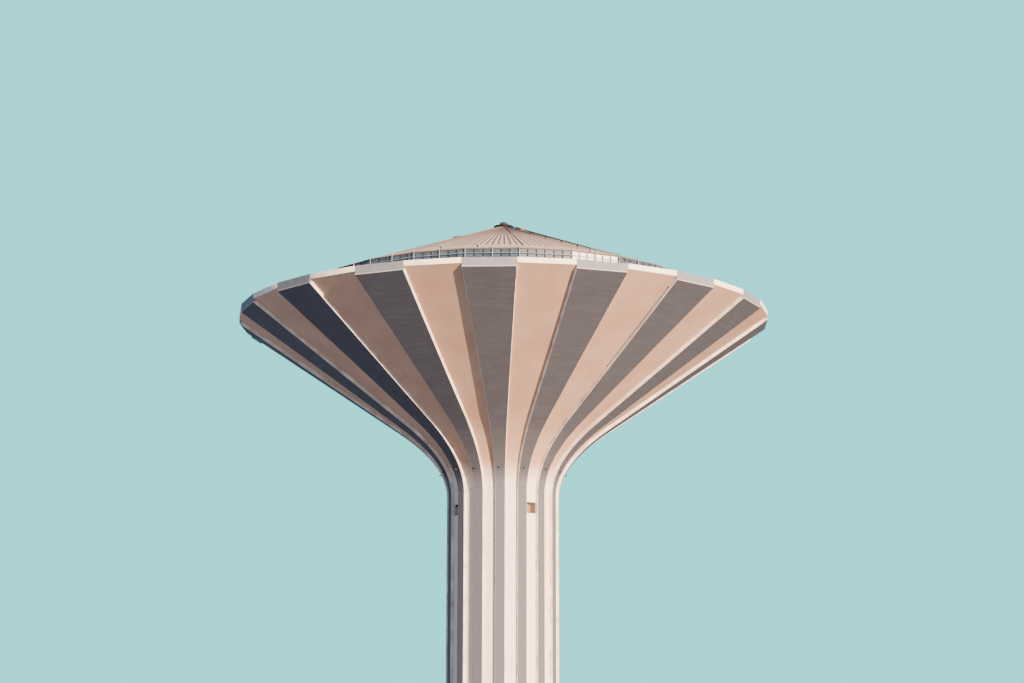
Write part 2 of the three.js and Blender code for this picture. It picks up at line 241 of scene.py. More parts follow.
class GeometryTree(Wiring):
    """A Geometry Nodes tree with named inputs, run on a piece as a modifier."""

    name = "tree"
    inputs: dict[str, int | float] = {}
    finish_inputs = ("Main finish", "Edge finish", "Trim finish")

    def __init__(self) -> None:
        """Starts the tree with its inputs and lays out its nodes."""
        super().__init__(bpy.data.node_groups.new(self.name, "GeometryNodeTree"))
        self.identifiers: dict[str, str] = {}
        self.tree.interface.new_socket(
            "Geometry", in_out="OUTPUT", socket_type="NodeSocketGeometry"
        )
        self.offer("Geometry", "NodeSocketGeometry")
        for label, value in self.inputs.items():
            kind = "NodeSocketInt" if isinstance(value, int) else "NodeSocketFloat"
            self.offer(label, kind).default_value = value
        for label in self.finish_inputs:
            self.offer(label, "NodeSocketMaterial")
        self.given = self.add("NodeGroupInput").outputs
        self.close(self.plan())

    def offer(self, label: str, kind: str) -> bpy.types.NodeTreeInterfaceSocket:
        """Adds an input to the tree and notes its identifier.

        Args:
            label: The input's name.
            kind: Its socket's type.

        Returns:
            The input's socket.
        """
        socket = self.tree.interface.new_socket(label, in_out="INPUT", socket_type=kind)
        self.identifiers[label] = socket.identifier
        return socket

    def plan(self) -> bpy.types.Node:
        """Lays out the tree's own nodes and gives the last of them."""
        raise NotImplementedError

    def close(self, geometry: bpy.types.Node) -> None:
        """Makes instances real, sets the finishes and ends the tree.

        Args:
            geometry: The node that gives what the tree has made.
        """
        geometry = self.add("GeometryNodeRealizeInstances", {0: geometry})
        worn = self.add("GeometryNodeInputNamedAttribute", {"Name": "part"}, data_type="INT")
        for part, label in zip(Part, self.finish_inputs):
            chosen = self.add(
                "FunctionNodeCompare",
                {2: worn.outputs["Attribute"], 3: int(part)},
                data_type="INT",
                operation="EQUAL",
            )
            geometry = self.add(
                "GeometryNodeSetMaterial",
                {0: geometry, "Selection": chosen, "Material": self.given[label]},
            )
        self.add("NodeGroupOutput", {0: geometry})

    def run(self, piece: Piece, values: dict[str, Any], worn: Sequence[Finish]) -> None:
        """Puts the tree on a piece as a modifier.

        Args:
            piece: The piece.
            values: What goes into the tree's inputs, by label.
            worn: Finishes of the piece's main faces, edges and trim.
        """
        modifier = piece.modifiers.new(self.name, "NODES")
        modifier.node_group = self.tree
        for label, value in {**values, **dict(zip(self.finish_inputs, worn))}.items():
            modifier[self.identifiers[label]] = value


class RingTree(GeometryTree):
    """Repeats a piece round the tower's axis."""

    name = "ring_round_axis"
    inputs = {"Count": 16, "First bearing": 0.0, "Turn": 22.5}

    def plan(self) -> bpy.types.Node:
        """Lays out one instance of the piece on each bearing.

        Returns:
            The node that gives the instances.
        """
        points = self.add(
            "GeometryNodeMeshLine", {"Count": self.given["Count"], "Offset": (0, 0, 0)}
        )
        index = self.add("GeometryNodeInputIndex")
        degrees = self.add(
            "ShaderNodeMath",
            {0: index, 1: self.given["Turn"], 2: self.given["First bearing"]},
            operation="MULTIPLY_ADD",
        )
        angle = self.add("ShaderNodeMath", {0: degrees}, operation="RADIANS")
        turned = self.add("FunctionNodeAxisAngleToRotation", {"Axis": (0, 0, 1), "Angle": angle})
        return self.add(
            "GeometryNodeInstanceOnPoints",
            {"Points": points, "Instance": self.given["Geometry"], "Rotation": turned},
        )


class GridTree(GeometryTree):
    """Repeats a piece in upright rows and columns, each copy with its own shade."""

    name = "upright_grid"
    inputs = {
        "Columns": 6,
        "Rows": 4,
        "Width": 4.0,
        "Height": 1.2,
        "Out": 20.0,
        "Lift": 50.0,
        "Seed": 3,
    }

    def plan(self) -> bpy.types.Node:
        """Lays out one instance of the piece on each crossing of the grid.

        Returns:
            The node that gives the instances with their shades.
        """
        grid = self.add(
            "GeometryNodeMeshGrid",
            {
                "Size X": self.given["Width"],
                "Size Y": self.given["Height"],
                "Vertices X": self.given["Columns"],
                "Vertices Y": self.given["Rows"],
            },
        )
        inward = self.add(
            "ShaderNodeMath", {0: self.given["Out"], 1: -1.0}, operation="MULTIPLY"
        )
        where = self.add("ShaderNodeCombineXYZ", {1: inward, 2: self.given["Lift"]})
        upright = self.add(
            "GeometryNodeTransform",
            {0: grid.outputs["Mesh"], "Translation": where, "Rotation": (math.pi / 2, 0, 0)},
        )
        copies = self.add(
            "GeometryNodeInstanceOnPoints",
            {"Points": upright, "Instance": self.given["Geometry"]},
        )
        index = self.add("GeometryNodeInputIndex")
        chance = self.add(
            "FunctionNodeRandomValue",
            {2: 0.0, 3: 1.0, "ID": index, "Seed": self.given["Seed"]},
            data_type="FLOAT",
        )
        return self.add(
            "GeometryNodeStoreNamedAttribute",
            {0: copies, "Name": "shade", "Value": chance.outputs[1]},
            data_type="FLOAT",
            domain="INSTANCE",
        )


class FoldTree(GeometryTree):
    """Folds a round roof onto the sides of the plan and welds its strips."""

    name = "fold_to_sides"
    inputs = {"Side": 15.0, "Corner": 0.0, "Weld": 0.002}

    def plan(self) -> bpy.types.Node:
        """Stretches each point away from the axis by its bearing off a side's middle.

        Returns:
            The node that gives the folded roof.
        """
        position = self.add("GeometryNodeInputPosition")
        parts = self.add("ShaderNodeSeparateXYZ", {0: position}).outputs
        turned = self.add("ShaderNodeMath", {0: parts[1], 1: parts[0]}, operation="ARCTAN2")
        side = self.add("ShaderNodeMath", {0: self.given["Side"]}, operation="RADIANS")
        corner = self.add("ShaderNodeMath", {0: self.given["Corner"]}, operation="RADIANS")
        ahead = self.add("ShaderNodeMath", {0: turned, 1: corner}, operation="SUBTRACT")
        last = self.add("ShaderNodeMath", {0: ahead, 1: side}, operation="SNAP")
        past = self.add("ShaderNodeMath", {0: ahead, 1: last}, operation="SUBTRACT")
        off = self.add("ShaderNodeMath", {0: side, 1: -0.5, 2: past}, operation="MULTIPLY_ADD")
        shorter = self.add("ShaderNodeMath", {0: off}, operation="COSINE")
        stretch = self.add("ShaderNodeMath", {0: 1.0, 1: shorter}, operation="DIVIDE")
        factors = self.add("ShaderNodeCombineXYZ", {0: stretch, 1: stretch, 2: 1.0})
        folded = self.add(
            "ShaderNodeVectorMath", {0: position, 1: factors}, operation="MULTIPLY"
        )
        moved = self.add(
            "GeometryNodeSetPosition", {0: self.given["Geometry"], "Position": folded}
        )
        return self.add(
            "GeometryNodeMergeByDistance", {0: moved, "Distance": self.given["Weld"]}
        )


class PipeTree(GeometryTree):
    """Runs a pipe along a piece's edges, with bends and with clips at even steps."""

    name = "pipe_along_path"
    inputs = {
        "Radius": 0.05,
        "Sides": 10,
        "Bend": 0.0,
        "Bend steps": 6,
        "Clips": 0,
        "Clip radius": 0.07,
        "Clip width": 0.08,
    }
    clip_sides = 12

    def plan(self) -> bpy.types.Node:
        """Sweeps a round section along the path and sets the clips on it.

        Returns:
            The node that gives pipe and clips.
        """
        path = self.add("GeometryNodeMeshToCurve", {0: self.given["Geometry"]})
        bent = self.add(
            "GeometryNodeFilletCurve",
            {
                0: path,
                "Radius": self.given["Bend"],
                "Limit Radius": True,
                1: self.given["Bend steps"],
            },
            mode="POLY",
        )
        section = self.add(
            "GeometryNodeCurvePrimitiveCircle",
            {"Resolution": self.given["Sides"], "Radius": self.given["Radius"]},
        )
        pipe = self.add("GeometryNodeCurveToMesh", {0: bent, 1: section, "Fill Caps": True})
        spots = self.add("GeometryNodeCurveToPoints", {0: bent, "Count": self.given["Clips"]})
        clip = self.add(
            "GeometryNodeMeshCylinder",
            {
                "Vertices": self.clip_sides,
                "Radius": self.given["Clip radius"],
                "Depth": self.given["Clip width"],
            },
        )
        clips = self.add(
            "GeometryNodeInstanceOnPoints",
            {"Points": spots, "Instance": clip, "Rotation": spots.outputs["Rotation"]},
        )
        worn = self.add(
            "GeometryNodeStoreNamedAttribute",
            {0: clips, "Name": "part", "Value": int(Part.EDGE)},
            data_type="INT",
            domain="INSTANCE",
        )
        both = self.add("GeometryNodeJoinGeometry", {0: pipe})
        self.tree.links.new(worn.outputs[0], both.inputs[0])
        return both


Step = tuple[GeometryTree, dict[str, Any]]


@dataclass
class Trees:
    """The geometry trees, each built once."""

    ring: RingTree = field(default_factory=RingTree)
    grid: GridTree = field(default_factory=GridTree)
    fold: FoldTree = field(default_factory=FoldTree)
    pipe: PipeTree = field(default_factory=PipeTree)


# Shapes


@dataclass
class Shape:
    """Points and faces of one piece, gathered in the real tower's metres."""

    points: list[Vector] = field(default_factory=list)
    faces: list[tuple[int, ...]] = field(default_factory=list)
    maps: list[list[Pair]] = field(default_factory=list)
    parts: list[int] = field(default_factory=list)
    edges: list[tuple[int, int]] = field(default_factory=list)

    def add_face(
        self, corners: Sequence[int], mapped: Sequence[Pair], part: int = Part.MAIN
    ) -> None:
        """Adds one face.

        Args:
            corners: Numbers of its points.
            mapped: Place of each corner on the UV map, in metres.
            part: Which finish it wears.
        """
        self.faces.append(tuple(corners))
        self.maps.append(list(mapped))
        self.parts.append(int(part))

    def skin(
        self,
        rows: Sequence[Sequence[Vector]],
        mapping: Map,
        part: Choice = lambda i, j: Part.MAIN,
        ring: bool = False,
        holes: frozenset[tuple[int, int]] = frozenset(),
    ) -> int:
        """Joins rows of points, each a closed loop, into a closed skin.

        Args:
            rows: The rows, with as many points in each.
            mapping: UV place of a corner, from its row, column and side of the face.
            part: Finish of a face, from its row and column.
            ring: Whether the last row joins the first, where it gets caps otherwise.
            holes: Faces to leave out, by row and column.

        Returns:
            The number of the first point.
        """
        first = len(self.points)
        columns = len(rows[0])
        for row in rows:
            self.points.extend(row)

        def at(i: int, j: int) -> int:
            """Gives the number of a point."""
            return first + (i % len(rows)) * columns + j % columns

        for i in range(len(rows) if ring else len(rows) - 1):
            quad = ((i, 0), (i, 1), (i + 1, 1), (i + 1, 0))
            for j in range(columns):
                if (i, j) in holes:
                    continue
                corners = [at(row, j + side) for row, side in quad]
                mapped = [mapping(row, j, side) for row, side in quad]
                self.add_face(corners, mapped, part(i, j))
        if not ring:
            for i in (0, len(rows) - 1):
                corners = [at(i, j) for j in range(columns)]
                mapped = [mapping(i, j, 0) for j in range(columns)]
                self.add_face(corners, mapped, part(min(i, len(rows) - 2), 0))
        return first

    def prism(self, outline: Sequence[Vector], sweep: Vector, part: int = Part.MAIN) -> None:
        """Adds a closed prism.

        Args:
            outline: Corners of its base.
            sweep: From the base to the far end.
            part: Which finish it wears.
        """
        lengths = walked(outline)
        self.skin(
            [list(outline), [p + sweep for p in outline]],
            lambda i, j, side: (lengths[j + side], i * sweep.length),
            lambda i, j: part,
        )

    def box(
        self, frame: Matrix, middle: Sequence[float], size: Triple, part: int = Part.MAIN
    ) -> None:
        """Adds a box in a frame of its own.

        Args:
            frame: From the box's frame to the tower's.
            middle: Middle of the box in its frame.
            size: Its size along each axis of its frame.
            part: Which finish it wears.
        """
        x, y, z = (s / 2 for s in size)
        corners = [(-x, -y), (x, -y), (x, y), (-x, y)]
        base, top = (
            [frame @ (Vector(middle) + Vector((a, b, c))) for a, b in corners] for c in (-z, z)
        )
        self.prism(base, top[0] - base[0], part)

    def lathe(
        self,
        profile: Sequence[Pair],
        sides: int,
        frame: Matrix | None = None,
        part: Choice = lambda i, j: Part.MAIN,
    ) -> None:
        """Turns a profile round an upright axis.

        Args:
            profile: Radius and height of each ring, with caps at both ends.
            sides: How many sides each ring has.
            frame: From the axis's frame to the tower's.
            part: Finish of a face, from its ring and side.
        """
        frame = frame or Matrix.Identity(4)
        spokes = [outward(360 * (j + 0.5) / sides) for j in range(sides)]
        self.skin(
            [[frame @ (s * r + Vector((0, 0, height))) for s in spokes] for r, height in profile],
            lambda i, j, side: (profile[i][0] * math.tau * (j + side) / sides, profile[i][1]),
            part,
        )

    def path(self, points: Sequence[Vector]) -> None:
        """Adds a line of edges through points, which a pipe then follows.

        Args:
            points: The points in order.
        """
        first = len(self.points)
        self.points.extend(points)
        self.edges.extend((first + i, first + i + 1) for i in range(len(points) - 1))

    def rough_mesh(self, name: str, worn: Sequence[Finish]) -> bpy.types.Mesh:
        """Makes a mesh of what is gathered, with its faces turned outwards.

        Args:
            name: The mesh's name.
            worn: Finishes of main faces, edges and trim.

        Returns:
            The mesh, in the real tower's metres.
        """
        mesh = bpy.data.meshes.new(name)
        mesh.from_pydata(self.points, self.edges, self.faces)
        layer = mesh.uv_layers.new(name="UVMap")
        parts = mesh.attributes.new("part", "INT", "FACE")
        if not self.faces:
            return mesh
        for finish in worn:
            mesh.materials.append(finish)
        for face, part, mapped in zip(mesh.polygons, self.parts, self.maps):
            parts.data[face.index].value = part
            face.material_index = part
            for loop, uv in zip(face.loop_indices, mapped):
                layer.data[loop].uv = uv
        skin = bmesh.new()
        skin.from_mesh(mesh)
        bmesh.ops.recalc_face_normals(skin, faces=skin.faces)
        skin.to_mesh(mesh)
        skin.free()
        return mesh

    def make(
        self,
        name: str,
        finishes: Sequence[Finish],
        steps: Iterable[Step] = (),
        crease: float = 20,
        bevel: float = 0.0,
    ) -> Piece:
        """Makes the piece, runs its trees and brings it to the model's scale.

        Args:
            name: The piece's name.
            finishes: What main faces, edges and trim wear, the last also for those after it.
            steps: The trees to run, each with its inputs by label.
            crease: Edges sharper than this many degrees stay sharp.
            bevel: Width of the rounding on its edges, or none.

        Returns:
            The piece, a plain mesh with no modifier left.
        """
        worn = [*finishes, *[finishes[-1]] * (len(Part) - len(finishes))]
        piece = bpy.data.objects.new(name, self.rough_mesh(name, worn))
        bpy.context.scene.collection.objects.link(piece)
        if bevel:
            rounding = piece.modifiers.new("rounding", "BEVEL")
            rounding.width = bevel
            rounding.segments = ROUNDING_STEPS
            rounding.angle_limit = ROUNDING_FROM
        for tree, values in steps:
            tree.run(piece, values, worn)
        graph = bpy.context.evaluated_depsgraph_get()
        mesh = bpy.data.meshes.new_from_object(
            piece.evaluated_get(graph), preserve_all_data_layers=True, depsgraph=graph
        )
        piece.modifiers.clear()
        piece.data = mesh
        mesh.name = name
        mesh.transform(Matrix.Scale(SCALE, 4))
        mesh.polygons.foreach_set("use_smooth", [True] * len(mesh.polygons))
        mesh.set_sharp_from_angle(angle=math.radians(crease))
        return piece


def join_pieces(pieces: Sequence[Piece]) -> Piece:
    """Joins finished pieces into the first.

    Args:
        pieces: The pieces, all with the same finishes.

    Returns:
        The first piece, with the meshes of all.
    """
    joined = bmesh.new()
    for piece in pieces:
        joined.from_mesh(piece.data)
    joined.to_mesh(pieces[0].data)
    joined.free()
    for piece in pieces[1:]:
        bpy.data.objects.remove(piece)
    return pieces[0]


# Finishes


class Surface(Wiring):
    """One material's nodes, with places and depths in the real tower's metres."""

    def __init__(self, name: str, ground: Tone) -> None:
        """Starts the material under its maker's name.

        Args:
            name: The material's name.
            ground: The colour that the others are laid on.
        """
        self.material = bpy.data.materials.new(name)
        self.material.use_nodes = True
        super().__init__(self.material.node_tree)
        self.shader = self.tree.nodes["Principled BSDF"]
        self.tint: Any = linear(ground)

    def spot(self) -> bpy.types.Node:
        """Gives the place in the tower, in metres."""
        coordinates = self.add("ShaderNodeTexCoord").outputs["Object"]
        return self.add("ShaderNodeMapping", {"Vector": coordinates, "Scale": [1 / SCALE] * 3})

    def course(self, across: float = 1, along: float = 1) -> bpy.types.Node:
        """Gives the place on the piece's own map, in metres times a stretch each way."""
        mapped = self.add("ShaderNodeUVMap", uv_map="UVMap")
        return self.add("ShaderNodeMapping", {"Vector": mapped, "Scale": [across, along, 1]})

    def level(self) -> Socket:
        """Gives the height above the ground, in metres."""
        return self.add("ShaderNodeSeparateXYZ", {0: self.spot()}).outputs["Z"]

    def clouds(self, a_metre: float, detail: float) -> bpy.types.Node:
        """Gives soft clouds in the tower's own space.

        Args:
            a_metre: How many there are to a metre.
            detail: How many finer layers they have.

        Returns:
            The node that gives them.
        """
        where = {"Vector": self.spot(), "Scale": a_metre, "Detail": detail}
        return self.add("ShaderNodeTexNoise", where)

    def streaks(self, across: float, along: float) -> bpy.types.Node:
        """Gives long streaks on the piece's own map.

        Args:
            across: How many there are to a metre across the piece.
            along: How many there are to a metre along it.

        Returns:
            The node that gives them.
        """
        where = {"Vector": self.course(across, along), "Scale": 1.0, "Detail": 4.0}
        return self.add("ShaderNodeTexNoise", where)

    def lay(
        self, tone: Tone, pattern: Any, low: float = 0.0, high: float = 1.0, share: float = 1.0
    ) -> None:
        """Lays a tone on the colours so far, where a pattern is strong.

        Args:
            tone: The colour.
            pattern: The node or output that gives the pattern.
            low: Where in the pattern the tone begins.
            high: Where in the pattern it is at its most.
            share: How much of the colour under it is covered there.
        """
        amount = self.add("ShaderNodeMapRange", {0: pattern, 1: low, 2: high, 4: share})
        mix = {0: amount, 6: self.tint, 7: linear(tone)}
        self.tint = self.add("ShaderNodeMix", mix, data_type="RGBA").outputs[2]

    def settle(self, height: Any, depth: float, strength: float, **values: float) -> Finish:
        """Gives the shader its colour, its relief and its even values.

        Args:
            height: The node or output whose pattern raises the surface.
            depth: How far, in the real tower's metres.
            strength: How much of the relief shows.
            **values: The shader's even values, by name.

        Returns:
            The material.
        """
        relief = {"Height": height, "Distance": depth * SCALE, "Strength": strength}
        bump = self.add("ShaderNodeBump", relief)
        self.tree.links.new(bump.outputs[0], self.shader.inputs["Normal"])
        self.tree.links.new(self.tint, self.shader.inputs["Base Color"])
        for name, value in values.items():
            self.shader.inputs[name.replace("_", " ")].default_value = value
        return self.material


class Recipe:
    """How a finish is mixed."""

    def material(self) -> Finish:
        """Mixes the material."""
        raise NotImplementedError


@dataclass(frozen=True)
class SmoothConcrete(Recipe):
    """Concrete cast against sheet forms: pale, matt, softly clouded, with rain streaks."""

    name: str = "smooth_cast_concrete"
    # height of the pour joint on the neck, and how far below it the stem's painted light is at its
    # most: a paler tone painted on the stem in place of the stronger sun on its upright faces
    low_joint: float = 34.83
    lit_stem_reach: float = 2.1
    # streaks 450 mm apart; clouds 2.9 m wide; pores of a few mm, drawn 110 mm apart to show
    streaks_a_metre: float = 2.2
    clouds_a_metre: float = 0.35
    pores_a_metre: float = 9.0

    def material(self) -> Finish:
        """Mixes the material.

        Returns:
            Pale concrete with rain streaks along the slope and a pour joint, with painted light: a
            paler tone on the stem below the joint.
        """
        surface = Surface(self.name, Tone.PANEL)
        pores = surface.clouds(self.pores_a_metre, 2.0)
        level, joint = surface.level(), self.low_joint
        surface.lay(Tone.PANEL_WASHED, surface.clouds(self.clouds_a_metre, 5.0), 0.36, 0.64)
        surface.lay(Tone.PANEL_DAMP, surface.streaks(self.streaks_a_metre, 0.09), 0.52, 0.74, 0.2)
        # painted light: the stem below the pour joint is laid towards a paler tone, standing in for
        # the stronger sun on its upright faces
        surface.lay(Tone.PANEL_STEM_PAINTED_LIGHT, level, joint, joint - self.lit_stem_reach, 0.85)
        surface.lay(Tone.PANEL_DAMP, level, joint, joint + 0.06, 0.16)
        surface.lay(Tone.RIB_PALE, pores, 0.55, 0.75, 0.12)
        return surface.settle(pores, 0.004, 0.5, Roughness=0.88, IOR=1.5)


@dataclass(frozen=True)
class BoardMarkedConcrete(Recipe):
    """Concrete cast against rough boards: dark, matt, with the boards' uneven tones."""

    name: str = "board_marked_concrete"
    # boards 150 mm wide and 2.6 m long, and the share of a board that its grout line takes
    board: float = 0.15
    board_length: float = 2.6
    grout: float = 0.16
    # height below which the ribs are at their palest, a paler tone painted on the stem's ribs in
    # place of the stronger sun on their upright faces, and how far above it the change takes
    joint: float = 32.74
    joint_reach: float = 1.5
    # clouds 2 m wide, and run marks 630 mm apart
    clouds_a_metre: float = 0.5
    runs_a_metre: float = 1.6

    def material(self) -> Finish:
        """Mixes the material.

        Returns:
            Dark concrete with boards of uneven tone, grout lines and streaks, with painted light:
            paler on the stem below the joint.
        """
        surface = Surface(self.name, Tone.RIB)
        course = surface.add("ShaderNodeSeparateXYZ", {0: surface.course()}).outputs
        row = surface.add("ShaderNodeMath", {0: course[1], 1: self.board}, operation="DIVIDE")
        number = surface.add("ShaderNodeMath", {0: row}, operation="FLOOR")
        chance = surface.add("ShaderNodeTexWhiteNoise", {"W": number}, noise_dimensions="1D")
        shifted = surface.add(
            "ShaderNodeMath",
            {0: chance, 1: self.board_length, 2: course[0]},
            operation="MULTIPLY_ADD",
        )
        length = surface.add(
            "ShaderNodeMath", {0: shifted, 1: self.board_length}, operation="DIVIDE"
        )
        plank = surface.add("ShaderNodeMath", {0: length}, operation="FLOOR")
        address = surface.add("ShaderNodeCombineXYZ", {0: number, 1: plank})
        board = surface.add(
            "ShaderNodeTexWhiteNoise", {"Vector": address}, noise_dimensions="3D"
        )
        within = surface.add("ShaderNodeMath", {0: row}, operation="FRACT")
        edge = surface.add("ShaderNodeMath", {0: within, 1: self.grout}, operation="LESS_THAN")
        surface.lay(Tone.RIB_PALE, board, share=0.45)
        surface.lay(Tone.RIB_DARK, surface.clouds(self.clouds_a_metre, 5.0), 0.38, 0.66, 0.2)
        surface.lay(Tone.RIB_DARK, surface.streaks(self.runs_a_metre, 0.08), 0.55, 0.75, 0.2)
        # painted light: the ribs on the stem are laid towards a paler tone in place of the stronger
        # sun they take
        surface.lay(Tone.RIB_STEM_PAINTED_LIGHT, surface.level(), self.joint + self.joint_reach, self.joint, 0.8)
        surface.lay(Tone.RIB_DARK, edge, share=0.3)
        height = surface.add("ShaderNodeMath", {0: board, 1: edge}, operation="SUBTRACT")
        return surface.settle(height, 0.012, 0.7, Roughness=0.92, IOR=1.5)


@dataclass(frozen=True)
class MottledFinish(Recipe):
    """A plain surface of two tones in soft clouds, with a fine grain on it."""

    name: str
    tone: Tone
    other: Tone
    # clouds 1.3 m wide; the grain is 1 to 5 mm and is drawn 80 mm wide, to show
    clouds_a_metre: float = 0.8
    grain_a_metre: float = 12.0
    grain_depth: float = 0.002
    grain_share: float = 0.35
    contrast: float = 0.7
    roughness: float = 0.6
    metallic: float = 0.0

    def material(self) -> Finish:
        """Mixes the material.

        Returns:
            The two tones in clouds, with relief from the fine grain.
        """
        surface = Surface(self.name, self.tone)
        cloud = surface.clouds(self.clouds_a_metre, 4.0)
        grain = surface.clouds(self.grain_a_metre, 2.0)
        both = surface.add(
            "ShaderNodeMath", {0: grain, 1: self.grain_share, 2: cloud}, operation="MULTIPLY_ADD"
        )
        surface.lay(self.other, both, 0.5, 0.9, self.contrast)
        return surface.settle(
            grain, self.grain_depth, 0.5, Roughness=self.roughness, Metallic=self.metallic
        )


@dataclass(frozen=True)
class FasciaConcrete(Recipe):
    """Concrete cast against steel forms at the rim: smooth and grey, with a paler lip."""

    name: str = "steel_formed_concrete"
    lip: float = 0.1
    lip_blur: float = 0.03
    # run marks 400 mm apart
    runs_a_metre: float = 2.5

    def material(self) -> Finish:
        """Mixes the material.

        Returns:
            Grey concrete with run marks and a pale lower edge.
        """
        surface = Surface(self.name, Tone.FASCIA)
        runs = surface.streaks(self.runs_a_metre, 0.3)
        lip = Outline().fascia_foot + self.lip
        surface.lay(Tone.FASCIA_LIP, runs, 0.45, 0.75, 0.2)
        surface.lay(Tone.FASCIA_LIP, surface.level(), lip, lip - self.lip_blur)
        return surface.settle(runs, 0.003, 0.4, Roughness=0.8, IOR=1.5)


@dataclass(frozen=True)
class SeamedSheet(Recipe):
    """Coated aluminium sheet with standing seams: satin, chalked, no two trays alike."""

    name: str = "coated_seamed_sheet"
    seams: int = 176
    # the seam is a fold 25 mm wide with its shadow, drawn 130 mm each way to show
    seam_width: float = 0.13
    seam_foot: float = 17.5
    # clouds of dust 3.3 m wide
    clouds_a_metre: float = 0.3

    def material(self) -> Finish:
        """Mixes the material.

        Returns:
            Beige coating, each tray a little different, with darker seams.
        """
        surface = Surface(self.name, Tone.ROOF)
        spot = surface.add("ShaderNodeSeparateXYZ", {0: surface.spot()}).outputs
        bearing = surface.add("ShaderNodeMath", {0: spot[0], 1: spot[1]}, operation="ARCTAN2")
        share = surface.add(
            "ShaderNodeMath",
            {0: bearing, 1: self.seams / math.tau, 2: 0.5},
            operation="MULTIPLY_ADD",
        )
        tray = surface.add("ShaderNodeMath", {0: share}, operation="FLOOR")
        chance = surface.add("ShaderNodeTexWhiteNoise", {"W": tray}, noise_dimensions="1D")
        course = surface.add("ShaderNodeSeparateXYZ", {0: surface.course()}).outputs
        off = surface.add("ShaderNodeMath", {0: course[0]}, operation="ABSOLUTE")
        width, foot = self.seam_width, self.seam_foot
        line = surface.add("ShaderNodeMapRange", {0: off, 1: width, 2: width / 2, 4: 0.9})
        short = surface.add("ShaderNodeMapRange", {0: course[1], 1: foot, 2: foot - 0.1})
        seam = surface.add("ShaderNodeMath", {0: line, 1: short}, operation="MULTIPLY")
        cloud = surface.clouds(self.clouds_a_metre, 5.0)
        surface.lay(Tone.ROOF_DUST, chance, share=0.6)
        surface.lay(Tone.ROOF_DUST, cloud, 0.4, 0.7, 0.4)
        surface.lay(Tone.ROOF_SEAM, seam)
        return surface.settle(cloud, 0.01, 0.3, Roughness=0.55, IOR=1.5)


@dataclass(frozen=True)
class EnamelledPanel(Recipe):
    """Enamelled steel panel: a glossy glass coat, each panel with its own shade."""

    name: str = "enamelled_panel"
    tone: Tone = Tone.ENAMEL
    pale: Tone = Tone.ENAMEL_PALE
    roughness: float = 0.17
    # dust in patches 330 mm wide, and the sheet's own waves 710 mm long
    dust_a_metre: float = 3.0
    waves_a_metre: float = 1.4

    def material(self) -> Finish:
        """Mixes the material.

        Returns:
            Gloss whose tone changes from panel to panel.
        """
        surface = Surface(self.name, self.tone)
        shade = surface.add("ShaderNodeAttribute", attribute_name="shade").outputs["Fac"]
        waves = surface.clouds(self.waves_a_metre, 1.0)
        surface.lay(self.pale, shade, share=0.8)
        surface.lay(Tone.ZINC_DARK, surface.clouds(self.dust_a_metre, 4.0), 0.5, 0.75, 0.25)
        return surface.settle(
            waves, 0.004, 0.3, Roughness=self.roughness, IOR=1.55, Coat_Weight=0.4
        )


def mixed(recipe: Recipe) -> Any:
    """Gives a palette's field, whose finish is mixed when the palette is made."""
    return field(default_factory=recipe.material)


